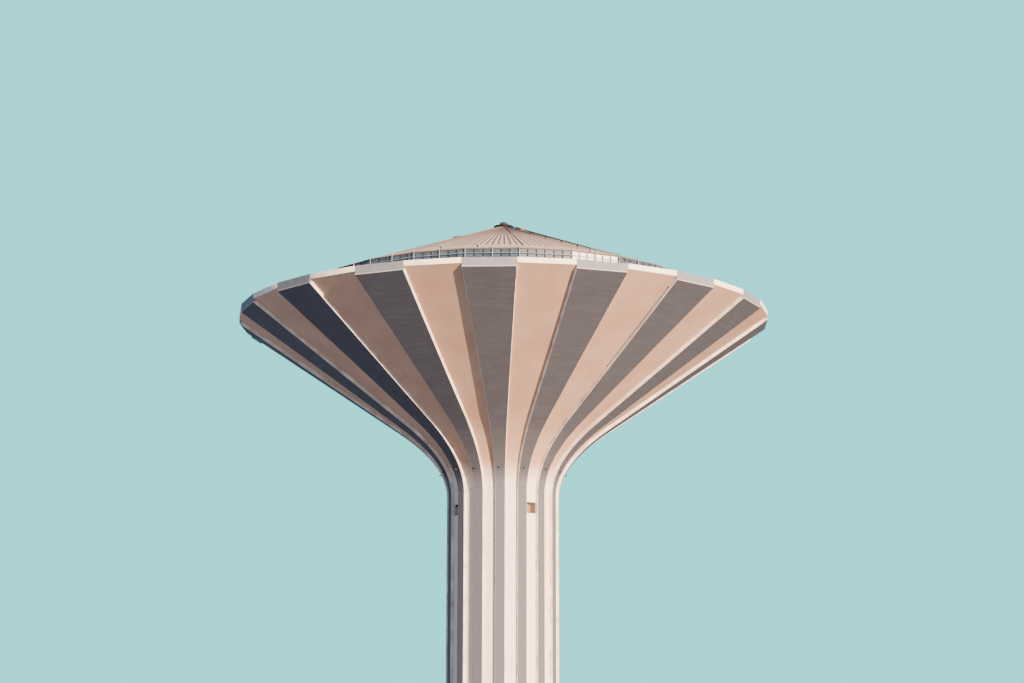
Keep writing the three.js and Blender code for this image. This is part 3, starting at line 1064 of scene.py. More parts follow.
@dataclass
class Palette:
    """Every finish of the tower, mixed once."""

    smooth: Finish = mixed(SmoothConcrete())
    boards: Finish = mixed(BoardMarkedConcrete())
    fascia: Finish = mixed(FasciaConcrete())
    roof: Finish = mixed(SeamedSheet())
    enamel: Finish = mixed(EnamelledPanel())
    # painted reflection: near-white enamel for one side of the gallery, standing in for the low sun
    # mirrored in the glossy panels there
    painted_reflection: Finish = mixed(
        EnamelledPanel("enamel_with_painted_reflection", Tone.PAINTED_REFLECTION, Tone.PAINTED_REFLECTION_PALE, roughness=0.3)
    )
    # side of a rib, cast smooth: pale and matt
    arris: Finish = mixed(
        MottledFinish("pale_smooth_rib_side", Tone.ARRIS, Tone.PANEL_DAMP, roughness=0.85)
    )
    # fine steel-formed concrete: nearly white and matt
    block: Finish = mixed(
        MottledFinish(
            "near_white_rim_block", Tone.BLOCK, Tone.PANEL_WASHED, contrast=0.4, roughness=0.8
        )
    )
    # spun aluminium gone dull: dark, with a soft shine
    cap: Finish = mixed(
        MottledFinish("dull_spun_aluminium", Tone.CAP, Tone.PAINT, roughness=0.5, metallic=0.3)
    )
    # floated concrete of the rim walk: dusty and a little darker
    walk: Finish = mixed(
        MottledFinish(
            "floated_concrete", Tone.WALK, Tone.WALK_DUST, contrast=0.5, roughness=0.9
        )
    )
    # rubber gasket between panels: black and matt; on the apex vent it is painted shade too, worn
    # by skirt, collar, cap and fins in place of the shade in the louvred recess
    joint: Finish = mixed(
        MottledFinish("black_gasket_and_painted_shade", Tone.BLACK_JOINT_AND_SHADE, Tone.PAINT, contrast=0.15, roughness=0.8)
    )
    # brown coated steel: satin
    coping: Finish = mixed(
        MottledFinish(
            "coated_steel_coping", Tone.COPING, Tone.PAINT, contrast=0.3, roughness=0.6
        )
    )
    # hot-dip zinc gone dull: pale grey with a soft shine
    zinc: Finish = mixed(
        MottledFinish(
            "dull_galvanised_steel", Tone.ZINC, Tone.ZINC_DARK, roughness=0.5, metallic=0.35
        )
    )
    # dark paint with rust coming through: dull and blotched; on the drain spouts it is painted
    # shade too, darkening the whole pipe in place of the shade inside its open mouth
    paint: Finish = mixed(
        MottledFinish("weathered_dark_paint_and_painted_shade", Tone.PAINT, Tone.RUST, contrast=0.4, roughness=0.6)
    )
    # anodised aluminium frame: dark brown with a satin shine
    anodised: Finish = mixed(
        MottledFinish(
            "brown_anodised_aluminium", Tone.ANODISED, Tone.PAINT, roughness=0.4, metallic=0.5
        )
    )
    # coated infill boards behind the mullion: even and satin, or faded and matt
    pane_tan: Finish = mixed(
        MottledFinish("tan_infill_board", Tone.PANE_TAN, Tone.COPING, contrast=0.3, roughness=0.4)
    )
    pane_brown: Finish = mixed(
        MottledFinish("brown_infill_board", Tone.PANE_BROWN, Tone.ANODISED, roughness=0.7)
    )
    pane_grey: Finish = mixed(
        MottledFinish(
            "grey_infill_board", Tone.PANE_GREY, Tone.ZINC_DARK, contrast=0.3, roughness=0.7
        )
    )
    # studio sheet: matt and even
    floor: Finish = mixed(
        MottledFinish("matt_studio_floor", Tone.FLOOR, Tone.FLOOR, contrast=0.0, roughness=0.95)
    )


# The tower's outline


@dataclass(frozen=True)
class Station:
    """A place on the ribs' outline, with the way into the wall from it."""

    radius: float
    height: float
    inward: Pair
    length: float

    def behind(self, depth: float) -> Pair:
        """Gives radius and height at a depth into the wall."""
        return (self.radius + self.inward[0] * depth, self.height + self.inward[1] * depth)


@dataclass(frozen=True)
class WindowPlan:
    """Where the stem's four windows are, and their openings' size."""

    brown_bearings: tuple[float, ...] = (22.5, 112.5, 202.5)
    grey_bearings: tuple[float, ...] = (292.5,)
    sill: float = 29.73
    height: float = 1.13
    width: float = 1.078
    # the opening as a share of its panel's width
    share: float = 0.99


@dataclass(frozen=True)
class Outline:
    """The ribs' outline from the ground to the rim, by plan corner radius."""

    rim_radius: float = 28.0
    rim_height: float = 51.15
    stem_radius: float = 5.88
    slope: float = 0.6745
    flare_height: float = 7.1
    flare_steps: int = 28
    rib_fascia: float = 0.893
    rib_depth: float = 0.32
    wall: float = 0.43
    stem_rib_angle: float = 4.95
    rim_rib_angle: float = 5.394
    # further rings of points, by height on the stem and by radius on the cone
    stem_rings: Pair = (10.0, 20.0)
    cone_rings: tuple[float, ...] = (15.0, 19.0, 23.0, 26.0)
    windows: WindowPlan = WindowPlan()

    @property
    def fascia_foot(self) -> float:
        """Height of the rim's lower edge."""
        return self.rim_height - self.rib_fascia

    @property
    def flare_foot(self) -> float:
        """Height where the neck leaves the stem."""
        radius = self.stem_radius + self.flare_height / (2 * self.slope)
        return self.fascia_foot - (self.rim_radius - radius) * self.slope - self.flare_height

    def neck_radius(self, height: float) -> float:
        """Gives the ribs' corner radius at a height on the stem or the neck."""
        rise = max(0.0, height - self.flare_foot)
        return self.stem_radius + rise**2 / (2 * self.slope * self.flare_height)

    def half_width(self, radius: float) -> float:
        """Gives half a rib's width across its face.

        Args:
            radius: The outline's corner radius there.

        Returns:
            Half the width, in metres.
        """
        share = (radius - self.stem_radius) / (self.rim_radius - self.stem_radius)
        angle = self.stem_rib_angle + (self.rim_rib_angle - self.stem_rib_angle) * share
        return radius * FLATNESS * math.tan(math.radians(angle))

    def neck_station(self, height: float, length: float) -> Station:
        """Gives a station on the stem or the neck.

        Args:
            height: Its height above the ground.
            length: How far along the outline it is.

        Returns:
            The station.
        """
        lean = max(0.0, height - self.flare_foot) / (self.slope * self.flare_height)
        size = math.hypot(lean, 1)
        return Station(self.neck_radius(height), height, (-1 / size, lean / size), length)

    def cone_station(self, radius: float) -> Station:
        """Gives a station on the cone.

        Args:
            radius: Its corner radius.

        Returns:
            The station.
        """
        size = math.hypot(1, self.slope)
        base = self.body(())[-1]
        past = radius - base.radius
        inward = (-self.slope / size, 1 / size)
        return Station(radius, base.height + past * self.slope, inward, base.length + past * size)

    def body(self, levels: Iterable[float]) -> list[Station]:
        """Gives the stations of stem and neck.

        Args:
            levels: Heights on the stem that get a station of their own.

        Returns:
            Stations from the ground to the top of the neck.
        """
        shares = (k / self.flare_steps for k in range(self.flare_steps + 1))
        flare = (self.flare_foot + self.flare_height * share for share in shares)
        heights = [*sorted({0.0, *levels}), *flare]
        lengths = walked([(self.neck_radius(height), height) for height in heights])
        return [self.neck_station(height, length) for height, length in zip(heights, lengths)]

    def rib(self) -> list[Station]:
        """Gives all the stations of a rib.

        Returns:
            Stations from the ground round the corner of the rim to its top.
        """
        corner = self.cone_station(self.rim_radius)
        size = math.hypot(1, self.slope)
        mitre = (-1.0, (1 - self.slope / size) * size)
        top = corner.length + self.rib_fascia
        return [
            *self.body(self.stem_rings),
            *(self.cone_station(radius) for radius in self.cone_rings),
            Station(corner.radius, corner.height, mitre, corner.length),
            Station(self.rim_radius, self.rim_height, (-1.0, 0.0), top),
        ]


# Sub-assemblies


@dataclass
class Assembly:
    """A sub-assembly of the tower: it builds its pieces and gives them their finishes."""

    palette: Palette
    trees: Trees
    outline: Outline

    def build(self) -> list[Piece]:
        """Builds and dresses the pieces."""
        raise NotImplementedError

    def seat(self, piece: Piece, slot: str, replaced: Sequence[str] = ()) -> Piece:
        """Ties a piece to the frame.

        Args:
            piece: The finished piece.
            slot: The record's material slot; not used.
            replaced: CAD nodes that it stands for.

        Returns:
            The same piece.
        """
        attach(piece, "root")
        if replaced:
            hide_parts(*replaced)
        return piece

    def at_rim(self, height: float) -> float:
        """Gives the height above the ground of a height above the rim walk."""
        return self.outline.rim_height + height

    def round_axis(self, count: int, first: float, turn: float) -> Step:
        """Gives the step that repeats a piece on bearings a turn apart."""
        return self.trees.ring, {"Count": count, "First bearing": first, "Turn": turn}

    def on_cone(
        self, station: Station, bearing: float, depth: float, across: float = 0.0
    ) -> Matrix:
        """Gives a frame that lies along the cone.

        Args:
            station: Where on the outline.
            bearing: Degrees round the axis.
            depth: Distance into the wall.
            across: Distance to the right of the bearing's line.

        Returns:
            A frame whose Y runs up the slope towards the axis.
        """
        out, height = station.behind(depth)
        return (
            Matrix.Translation(place(bearing, out * FLATNESS, across, height))
            @ Matrix.Rotation(math.radians(bearing), 4, "Z")
            @ Matrix.Rotation(-math.atan(self.outline.slope), 4, "X")
        )


@dataclass
class Shell(Assembly):
    """The smooth wall of stem, neck and tank, with the rim walk and four windows."""

    middle_radius: float = 20.0
    rim_recess: float = 0.02
    edge_width: float = 0.34
    edge_drop: float = 0.03
    walk_thickness: float = 0.3
    walk_inner_radius: float = 19.7
    # place of a window reveal's corners on the map, in metres
    reveal_map: tuple[Pair, ...] = ((0, 0), (1, 0), (1, 0.45), (0, 0.45))

    def section(self) -> tuple[list[Pair], dict[str, int]]:
        """Gives the wall's closed section.

        Returns:
            Radius and height of its corners, and the rows that bound windows and walk.
        """
        o = self.outline
        levels = (o.windows.sill, o.windows.sill + o.windows.height)
        stations = [*o.body(levels), o.cone_station(self.middle_radius)]
        rim = o.cone_station(o.rim_radius)
        foot, inside = rim.behind(o.rib_depth), rim.behind(o.rib_depth + o.wall)
        edge, step = o.rim_radius - self.rim_recess, o.rim_radius - self.edge_width
        top, under = o.rim_height, o.rim_height - self.walk_thickness
        outer = [
            *(s.behind(o.rib_depth) for s in stations),
            (edge, foot[1] + (edge - foot[0]) * o.slope),
        ]
        walk = [
            (edge, top - self.edge_drop),
            (step, top - self.edge_drop),
            (step, top),
            (self.walk_inner_radius, top),
            (self.walk_inner_radius, under),
        ]
        inner = [
            (inside[0] + (under - inside[1]) / o.slope, under),
            *(s.behind(o.rib_depth + o.wall) for s in stations[::-1]),
        ]
        section = [*outer, *walk, *inner]
        rows = {
            "outer sill": 1,
            "outer head": 2,
            "inner head": len(section) - 3,
            "inner sill": len(section) - 2,
            "walk": len(outer),
        }
        return section, rows

    def columns(self) -> list[tuple[int, float, float]]:
        """Gives the plan's columns.

        Returns:
            The side each is on, and where on it the column starts and ends, as shares of
            half the side.
        """
        edge = self.outline.windows.share
        panel = ((-1.0, -edge), (-edge, edge), (edge, 1.0))
        sides = [(side, ((-1.0, 1.0),) if side % 2 else panel) for side in range(FACETS)]
        return [(side, start, end) for side, spans in sides for start, end in spans]

    def build(self) -> list[Piece]:
        """Builds the wall with its windows cut through.

        Returns:
            The wall alone.
        """
        section, marks = self.section()
        columns = self.columns()
        lengths = walked(section)
        halves = [radius * math.sin(HALF_FACET) for radius, height in section]
        rows = [
            [place(k * FACET, radius * FLATNESS, s * half, height) for k, s, end in columns]
            for (radius, height), half in zip(section, halves)
        ]

        def mapping(i: int, j: int, side: int) -> Pair:
            """Gives a corner's place on the map, where each side has its own stretch."""
            across = columns[j][1 + side] * halves[i % len(halves)]
            return (across + MAP_STEP * columns[j][0], lengths[i])

        windows = self.outline.windows
        bearings = (*windows.brown_bearings, *windows.grey_bearings)
        pierced = [
            j
            for j, (side, start, end) in enumerate(columns)
            if side * FACET in bearings and start == -windows.share
        ]
        outer, head = marks["outer sill"], marks["outer head"]
        inner, inner_head = marks["inner sill"], marks["inner head"]
        walk = range(marks["walk"], marks["walk"] + 4)
        shape = Shape()
        first = shape.skin(
            rows,
            mapping,
            lambda i, j: Part.EDGE if i in walk else Part.MAIN,
            ring=True,
            holes=frozenset((i, j) for j in pierced for i in (outer, inner_head)),
        )
        for j in pierced:
            front = [(outer, j), (outer, j + 1), (head, j + 1), (head, j)]
            back = [(inner, j), (inner, j + 1), (inner_head, j + 1), (inner_head, j)]
            for k in range(4):
                after = (k + 1) % 4
                quad = (front[k], front[after], back[after], back[k])
                corners = [first + i * len(columns) + column for i, column in quad]
                shape.add_face(corners, self.reveal_map)
        finishes = [self.palette.smooth, self.palette.walk]
        piece = shape.make("smooth_wall", finishes, crease=8)
        replaced = [f"{n}_{k}" for n in ("stem_wall", "flare_wall", "bowl") for k in range(1, 9)]
        return [self.seat(piece, "smooth_concrete", replaced)]


@dataclass
class Ribs(Assembly):
    """Sixteen board-marked ribs, and the smooth blocks between them at the rim."""

    draft: float = 0.04
    chamfer: float = 0.035
    sunk: float = 0.05
    # column of a rib's face, of the seven from one side's root to the other's
    face: int = 3
    block_half_width: float = 2.825
    block_front: float = 27.848
    block_depth: float = 0.33
    block_taper: float = 0.105
    block_foot: float = 0.538
    block_rounding: float = 0.02

    def rib_rows(self) -> list[list[Vector]]:
        """Gives the rows of points of one rib, on bearing 0.

        Returns:
            A row for each station, from the left side's root to the right side's.
        """
        depth = self.outline.rib_depth
        half = [
            (self.draft, depth + self.sunk),
            (self.draft, depth),
            (self.draft * self.chamfer / depth, self.chamfer),
            (-self.chamfer, 0.0),
        ]
        rows = []
        for station in self.outline.rib():
            width = self.outline.half_width(station.radius)
            left = [(-(width + wider), depth) for wider, depth in half]
            right = [(width + wider, depth) for wider, depth in half[::-1]]
            row = []
            for across, depth in [*left, *right]:
                radius, height = station.behind(depth)
                row.append(place(0, radius * FLATNESS, across, height))
            rows.append(row)
        return rows

    def build_ribs(self) -> Piece:
        """Builds one rib and repeats it round the tower.

        Returns:
            The ribs.
        """
        stations = self.outline.rib()
        rows = self.rib_rows()
        unfolded = [walked(row) for row in rows]

        def mapping(i: int, j: int, side: int) -> Pair:
            """Gives a corner's place on the map, measured from the middle of the face."""
            middle = (unfolded[i][self.face] + unfolded[i][self.face + 1]) / 2
            return (unfolded[i][j + side] - middle, stations[i].length)

        def part(i: int, j: int) -> int:
            """Gives the fascia over the corner, the face's boards and the sides' pale finish."""
            below = Part.MAIN if j == self.face else Part.EDGE
            return Part.TRIM if i == len(rows) - 2 else below

        shape = Shape()
        shape.skin(rows, mapping, part)
        finishes = [self.palette.boards, self.palette.arris, self.palette.fascia]
        steps = [self.round_axis(RIBS, FACET, PAIR)]
        return shape.make("board_marked_ribs", finishes, steps, crease=8)

    def build_blocks(self) -> Piece:
        """Builds one smooth block of the rim and repeats it between the ribs.

        Returns:
            The blocks.
        """
        foot = self.at_rim(-self.block_foot)
        back = self.block_front - self.block_depth
        narrow = self.block_half_width - self.block_taper
        plan = [
            (-self.block_half_width, self.block_front),
            (self.block_half_width, self.block_front),
            (narrow, back),
            (-narrow, back),
        ]
        shape = Shape()
        outline = [place(0, out, across, foot) for across, out in plan]
        shape.prism(outline, Vector((0, 0, self.outline.rim_height - foot)))
        steps = [self.round_axis(RIBS, 0.0, PAIR)]
        finishes = [self.palette.block]
        return shape.make("rim_blocks", finishes, steps, crease=35, bevel=self.block_rounding)

    def build(self) -> list[Piece]:
        """Builds the ribs and the blocks."""
        ribs = self.seat(self.build_ribs(), "board_marked_concrete")
        return [ribs, self.seat(self.build_blocks(), "smooth_concrete")]


@dataclass
class Windows(Assembly):
    """Four closed windows in the stem: frame, mullion, two infill boards and a sill."""

    setback: float = 0.12
    clearance: float = 0.006
    bar: float = 0.07
    head: float = 0.25
    thickness: float = 0.08
    left_share: float = 0.56
    # mullion and boards stand back from the frame's middle; the mullion's width is a share
    # of a bar's, and both depths are shares of the frame's thickness
    mullion_back: float = 0.005
    mullion_width: float = 0.8
    mullion_depth: float = 0.9
    board_back: float = 0.012
    board_depth: float = 0.4
    sill_depth: float = 0.18
    sill_thickness: float = 0.024
    sill_out: float = 0.03

    def build_windows(
        self, name: str, bearings: Sequence[float], panes: Sequence[Finish]
    ) -> Piece:
        """Builds one window and repeats it round the stem.

        Args:
            name: The piece's name.
            bearings: Where the windows are, a quarter turn apart.
            panes: Finishes of the left board and of the right.

        Returns:
            The windows.
        """
        plan = self.outline.windows
        face = (self.outline.stem_radius - self.outline.rib_depth) * FLATNESS
        out = face - self.setback - self.thickness / 2
        frame = Matrix.Translation((0, -out, plan.sill + plan.height / 2))
        w, h, t, b = plan.width, plan.height - self.clearance, self.thickness, self.bar
        split, inner = w * (self.left_share - 0.5), w / 2 - b
        middle, tall = (b - self.head) / 2, h - b - self.head
        shape = Shape()
        for side in (-1, 1):
            shape.box(frame, (side * (w - b) / 2, 0, 0), (b, t, h))
        for bar, side in ((b, -1), (self.head, 1)):
            shape.box(frame, (0, 0, side * (h - bar) / 2), (w - 2 * b, t, bar))
        mullion = (b * self.mullion_width, t * self.mullion_depth, tall)
        shape.box(frame, (split, self.mullion_back, middle), mullion, Part.TRIM)
        for left, right, part in ((-inner, split, Part.EDGE), (split, inner, Part.TRIM)):
            board = (right - left, t * self.board_depth, tall)
            shape.box(frame, ((left + right) / 2, self.board_back, middle), board, part)
        sill = (0, -self.setback / 2 - self.sill_out, (self.sill_thickness - h) / 2)
        shape.box(frame, sill, (w, self.sill_depth, self.sill_thickness))
        steps = [self.round_axis(len(bearings), bearings[0], 90.0)]
        return shape.make(name, [self.palette.anodised, *panes], steps, crease=35)

    def build(self) -> list[Piece]:
        """Builds three windows with brown boards and one with grey boards.

        Returns:
            The three windows, and the one.
        """
        plan, p = self.outline.windows, self.palette
        brown = self.build_windows("windows", plan.brown_bearings, (p.pane_tan, p.pane_brown))
        grey = self.build_windows("grey_window", plan.grey_bearings, (p.pane_grey, p.pane_grey))
        return [
            self.seat(brown, "window_panel", ["window_1", "window_2", "window_3"]),
            self.seat(grey, "window_panel", ["window_4"]),
        ]


@dataclass
class Drains(Assembly):
    """Short drain spouts on the ribs, and the holes left by the form ties."""

    spout_height: float = 34.3
    spout_root: float = 0.15
    spout_reach: float = 0.2
    spout_drop: float = 0.03
    spout_radius: float = 0.065
    # the collars at a spout's ends, their radius as a share of its own
    collar_share: float = 1.15
    collar_width: float = 0.03
    hole_height: float = 32.28
    hole_sunk: float = 0.02
    # the cup's rings, from its back up its side, over its lip and down to the hole's floor
    cup: tuple[Pair, ...] = (
        (0.042, 0.0),
        (0.06, 0.0),
        (0.06, 0.04),
        (0.042, 0.04),
        (0.036, 0.012),
    )

    def build_spouts(self) -> Piece:
        """Builds the spouts, which leave the neck with a small fall.

        Returns:
            The spouts.
        """
        out = self.outline.neck_radius(self.spout_height) * FLATNESS
        mouth = self.spout_height - self.spout_drop
        shape = Shape()
        shape.path(
            [
                place(0, out - self.spout_root, 0, self.spout_height),
                place(0, out + self.spout_reach, 0, mouth),
            ]
        )
        pipe = {
            "Radius": self.spout_radius,
            "Sides": 12,
            "Clips": 2,
            "Clip radius": self.spout_radius * self.collar_share,
            "Clip width": self.collar_width,
        }
        steps = [(self.trees.pipe, pipe), self.round_axis(RIBS, FACET, PAIR)]
        # painted shade: the closed spouts wear dark paint all over, standing in for the shade
        # inside their open mouths
        return shape.make("drain_spouts", [self.palette.paint], steps, crease=40)

    def build_holes(self) -> Piece:
        """Builds the tie holes' cups, in the ribs and in the panels.

        Returns:
            The cups.
        """
        shape = Shape()
        station = self.outline.neck_station(self.hole_height, 0)
        tilt = math.atan2(-station.inward[1], -station.inward[0])
        for bearing, depth in ((0.0, self.outline.rib_depth), (FACET, 0.0)):
            radius, height = station.behind(depth)
            frame = (
                Matrix.Rotation(math.radians(bearing), 4, "Z")
                @ Matrix.Translation((0, self.hole_sunk - radius * FLATNESS, height))
                @ Matrix.Rotation(math.pi / 2 - tilt, 4, "X")
            )
            shape.lathe(self.cup, 10, frame)
        steps = [self.round_axis(RIBS, 0.0, PAIR)]
        return shape.make("tie_holes", [self.palette.joint], steps, crease=40)

    def build(self) -> list[Piece]:
        """Builds the spouts and the holes."""
        spouts = self.seat(self.build_spouts(), "dark_metal")
        return [spouts, self.seat(self.build_holes(), "dark_metal")]


@dataclass
class Conduit(Assembly):
    """A conduit clipped to the side of a rib under the tank, and a trunk by the rim."""

    bearing: float = 3 * FACET
    upper: float = 26.9
    lower: float = 17.5
    steps: int = 6
    radius: float = 0.025
    gap: float = 0.02
    depth: float = 0.26
    clips: int = 9
    clip_radius: float = 0.0375
    clip_width: float = 0.06
    end_box: Triple = (0.08, 0.16, 0.1)
    trunk_bearing: float = -9 * FACET
    trunk_radius: float = 26.4
    trunk_size: Triple = (0.3, 1.3, 0.32)
    trunk_sunk: float = 0.01
    rounding: float = 0.01

    def build_trunk(self) -> Piece:
        """Builds the short trunk under the rim, on the face of a rib.

        Returns:
            The trunk.
        """
        station = self.outline.cone_station(self.trunk_radius)
        depth = self.trunk_sunk - self.trunk_size[2] / 2
        shape = Shape()
        shape.box(self.on_cone(station, self.trunk_bearing, depth), (0, 0, 0), self.trunk_size)
        return shape.make("cable_trunk", [self.palette.zinc], crease=35, bevel=self.rounding)

    def build(self) -> list[Piece]:
        """Builds the conduit with its clips, the boxes at its ends, and the trunk.

        Returns:
            Conduit, boxes and trunk.
        """
        frames = []
        for k in range(self.steps + 1):
            radius = self.upper + (self.lower - self.upper) * k / self.steps
            across = -(self.outline.half_width(radius) + self.gap + self.radius)
            station = self.outline.cone_station(radius)
            frames.append(self.on_cone(station, self.bearing, self.depth, across))
        pipe = {
            "Radius": self.radius,
            "Sides": 8,
            "Clips": self.clips,
            "Clip radius": self.clip_radius,
            "Clip width": self.clip_width,
        }
        line = Shape()
        line.path([frame.to_translation() for frame in frames])
        finishes = [self.palette.zinc, self.palette.paint]
        conduit = line.make("conduit", finishes, [(self.trees.pipe, pipe)], crease=50)
        boxes = Shape()
        for frame in (frames[0], frames[-1]):
            boxes.box(frame, (0, 0, 0), self.end_box)
        ends = boxes.make("conduit_boxes", [self.palette.paint], crease=35, bevel=self.rounding)
        return [self.seat(piece, "dark_metal") for piece in (conduit, ends, self.build_trunk())]


@dataclass
class LidAssembly(Assembly):
    """What shares the plan of gallery and roof, which has fewer sides than the rim."""

    sides: int = 24
    first_corner: float = -4.28

    @property
    def turn(self) -> float:
        """Degrees from one side to the next."""
        return 360 / self.sides

    @property
    def half_turn(self) -> float:
        """Half a side's angle, in radians."""
        return math.radians(self.turn / 2)

    @property
    def flatness(self) -> float:
        """Distance of a side from the axis as a share of its corners' radius."""
        return math.cos(self.half_turn)

    def ringed(
        self,
        section: Sequence[Pair],
        part: Choice = lambda i, j: Part.MAIN,
        shape: Shape | None = None,
    ) -> Shape:
        """Runs a closed section round the sides of the plan.

        Args:
            section: Corner radius and height of its corners.
            part: Finish of a face, from its place in the section and its side.
            shape: The shape that gets it, or none for a new one.

        Returns:
            The shape.
        """
        shape = shape or Shape()
        bearings = [self.first_corner + k * self.turn for k in range(self.sides)]
        halves = [radius * math.sin(self.half_turn) for radius, height in section]
        lengths = walked(section)

        def mapping(i: int, j: int, side: int) -> Pair:
            """Gives a corner's place on the map, where each side has its own stretch."""
            return ((2 * side - 1) * halves[i % len(halves)] + MAP_STEP * j, lengths[i])

        rows = [[place(b, radius, 0, height) for b in bearings] for radius, height in section]
        shape.skin(rows, mapping, part, ring=True)
        return shape


@dataclass
class Gallery(LidAssembly):
    """The wall on the rim walk: kerb, transoms, enamelled panels, coping and handrail."""

    radius: float = 20.25
    thickness: float = 0.14
    height: float = 2.83
    foot: float = 0.003
    frame_setback: float = 0.04
    coping: float = 0.15
    overhang: float = 0.08
    coping_fall: float = 0.02
    kerb_width: float = 0.42
    kerb_height: float = 2.76
    bays: int = 6
    rows: int = 6
    row_pitch: float = 0.395
    top_row: float = 2.5
    joint_width: float = 0.16
    panel_height: float = 0.29
    panel_depth: float = 0.05
    transom_foot: float = 0.01
    transom_gap: float = 0.002
    rail_radius: float = 20.43
    rail_height: float = 2.27
    rail_thickness: float = 0.03
    post_foot: float = 0.004
    post_height: float = 3.065
    post_shift: float = 0.15
    post_radius: float = 0.036
    hook_reach: float = 0.16
    hook_drop: float = 0.12
    hook_bend: float = 0.06
    plate_size: Triple = (0.16, 0.16, 0.018)
    plate_height: float = 0.012
    # the side whose panels and transoms wear the painted sun reflection
    reflection_side: int = 1

    def build_wall(self) -> Piece:
        """Builds the dark frame behind the panels, with the kerb under the roof.

        Returns:
            The frame.
        """
        front, back = self.radius - self.frame_setback, self.radius - self.thickness
        kerb = self.radius - self.kerb_width
        head = self.height - self.coping
        section = [
            (front, self.at_rim(self.foot)),
            (front, self.at_rim(head)),
            (back, self.at_rim(head)),
            (back, self.at_rim(self.kerb_height)),
            (kerb, self.at_rim(self.kerb_height)),
            (kerb, self.at_rim(self.foot)),
        ]
        shape = self.ringed(section, lambda i, j: Part.MAIN if i < 2 else Part.EDGE)
        finishes = [self.palette.joint, self.palette.coping]
        return shape.make("gallery_frame", finishes, crease=8)

    def build_transoms(self) -> Piece:
        """Builds the enamelled bands between the rows of panels, as wide as a side.

        Returns:
            The bands.
        """
        shape = Shape()
        front, back, half = self.radius, self.radius - self.panel_depth, self.panel_height / 2
        levels = [self.top_row - k * self.row_pitch for k in range(self.rows)]
        feet = [*(level + half for level in levels), self.transom_foot]
        top = self.height - self.coping - self.transom_gap
        for low, high in zip(feet, [top, *(level - half for level in levels)]):
            foot, head = self.at_rim(low), self.at_rim(high)
            # the bands on one side wear the painted sun reflection
            self.ringed(
                [(front, foot), (front, head), (back, head), (back, foot)],
                lambda i, j: Part.EDGE if j == self.reflection_side else Part.MAIN,
                shape,
            )
        finishes = [self.palette.enamel, self.palette.painted_reflection]
        return shape.make("gallery_transoms", finishes, crease=8)

    def build_panels(self, name: str, first: int, count: int, finish: Finish) -> Piece:
        """Builds one panel and repeats it over a side of the plan, then round it.

        Args:
            name: The piece's name.
            first: The first side with these panels.
            count: How many sides have them.
            finish: What they wear.

        Returns:
            The panels.
        """
        pitch = 2 * self.radius * math.sin(self.half_turn) / self.bays
        middle = self.top_row - (self.rows - 1) * self.row_pitch / 2
        shape = Shape()
        size = (pitch - self.joint_width, self.panel_depth, self.panel_height)
        shape.box(Matrix.Identity(4), (0, 0, 0), size)
        grid = {
            "Columns": self.bays,
            "Rows": self.rows,
            "Width": pitch * (self.bays - 1),
            "Height": self.row_pitch * (self.rows - 1),
            "Out": self.radius * self.flatness - self.panel_depth / 2,
            "Lift": self.at_rim(middle),
            "Seed": 3,
        }
        bearing = self.first_corner + (first + 0.5) * self.turn
        steps = [(self.trees.grid, grid), self.round_axis(count, bearing, self.turn)]
        return shape.make(name, [finish], steps, crease=50)

    def build_coping(self) -> Piece:
        """Builds the rounded coping on the wall.

        Returns:
            The coping.
        """
        top, foot = self.at_rim(self.height), self.at_rim(self.height - self.coping)
        curl, flat = self.coping / 2, 0.001
        inside, nose = self.radius - self.thickness, self.radius + self.overhang - curl
        rounded = arc((nose, foot + curl), (curl, curl - flat), range(-90, 91, 30))
        ends = [(inside, top - self.coping_fall), (inside, foot), (nose, foot - flat)]
        section = [*ends[1:], *rounded, ends[0]]
        return self.ringed(section).make("gallery_coping", [self.palette.coping], crease=35)

    def build_posts(self) -> Piece:
        """Builds two posts with hooked heads and foot plates, and repeats them.

        Returns:
            Posts and plates.
        """
        shape = Shape()
        feet = Shape()
        head = self.at_rim(self.post_height - self.post_radius)
        for ahead, out in ((0, self.rail_radius), (0.5, self.rail_radius * self.flatness)):
            bearing = ahead * self.turn + self.post_shift
            shape.path(
                [
                    place(bearing, out, 0, self.at_rim(self.post_foot)),
                    place(bearing, out, 0, head),
                    place(bearing, out - self.hook_reach, 0, head),
                    place(bearing, out - self.hook_reach, 0, head - self.hook_drop),
                ]
            )
            turned = Matrix.Rotation(math.radians(bearing), 4, "Z")
            frame = turned @ Matrix.Translation((0, -out, self.at_rim(self.plate_height)))
            feet.box(frame, (0, 0, 0), self.plate_size)
        bend = {"Bend": self.hook_bend, "Bend steps": 4}
        pipe = {"Radius": self.post_radius, "Sides": 8, **bend}
        ring = self.round_axis(self.sides, self.first_corner, self.turn)
        finishes = [self.palette.zinc]
        posts = shape.make("gallery_posts", finishes, [(self.trees.pipe, pipe), ring], crease=50)
        return join_pieces([posts, feet.make("post_plates", finishes, [ring])])

    def build_rail(self) -> Piece:
        """Builds the handrail round the plan.

        Returns:
            The handrail.
        """
        middle = (self.rail_radius, self.at_rim(self.rail_height))
        section = arc(middle, (self.rail_thickness, self.rail_thickness), range(0, 360, 45))
        return self.ringed(section).make("gallery_handrail", [self.palette.zinc], crease=50)

    def build(self) -> list[Piece]:
        """Builds the wall, transoms, panels, coping, posts and handrail.

        Returns:
            The pieces in that order.
        """
        walls = [f"gallery_wall_{k}" for k in range(1, 5)]
        rails = [f"gallery_rail_{k}" for k in range(1, 5)]
        others = (self.reflection_side + 1, self.sides - 1, self.palette.enamel)
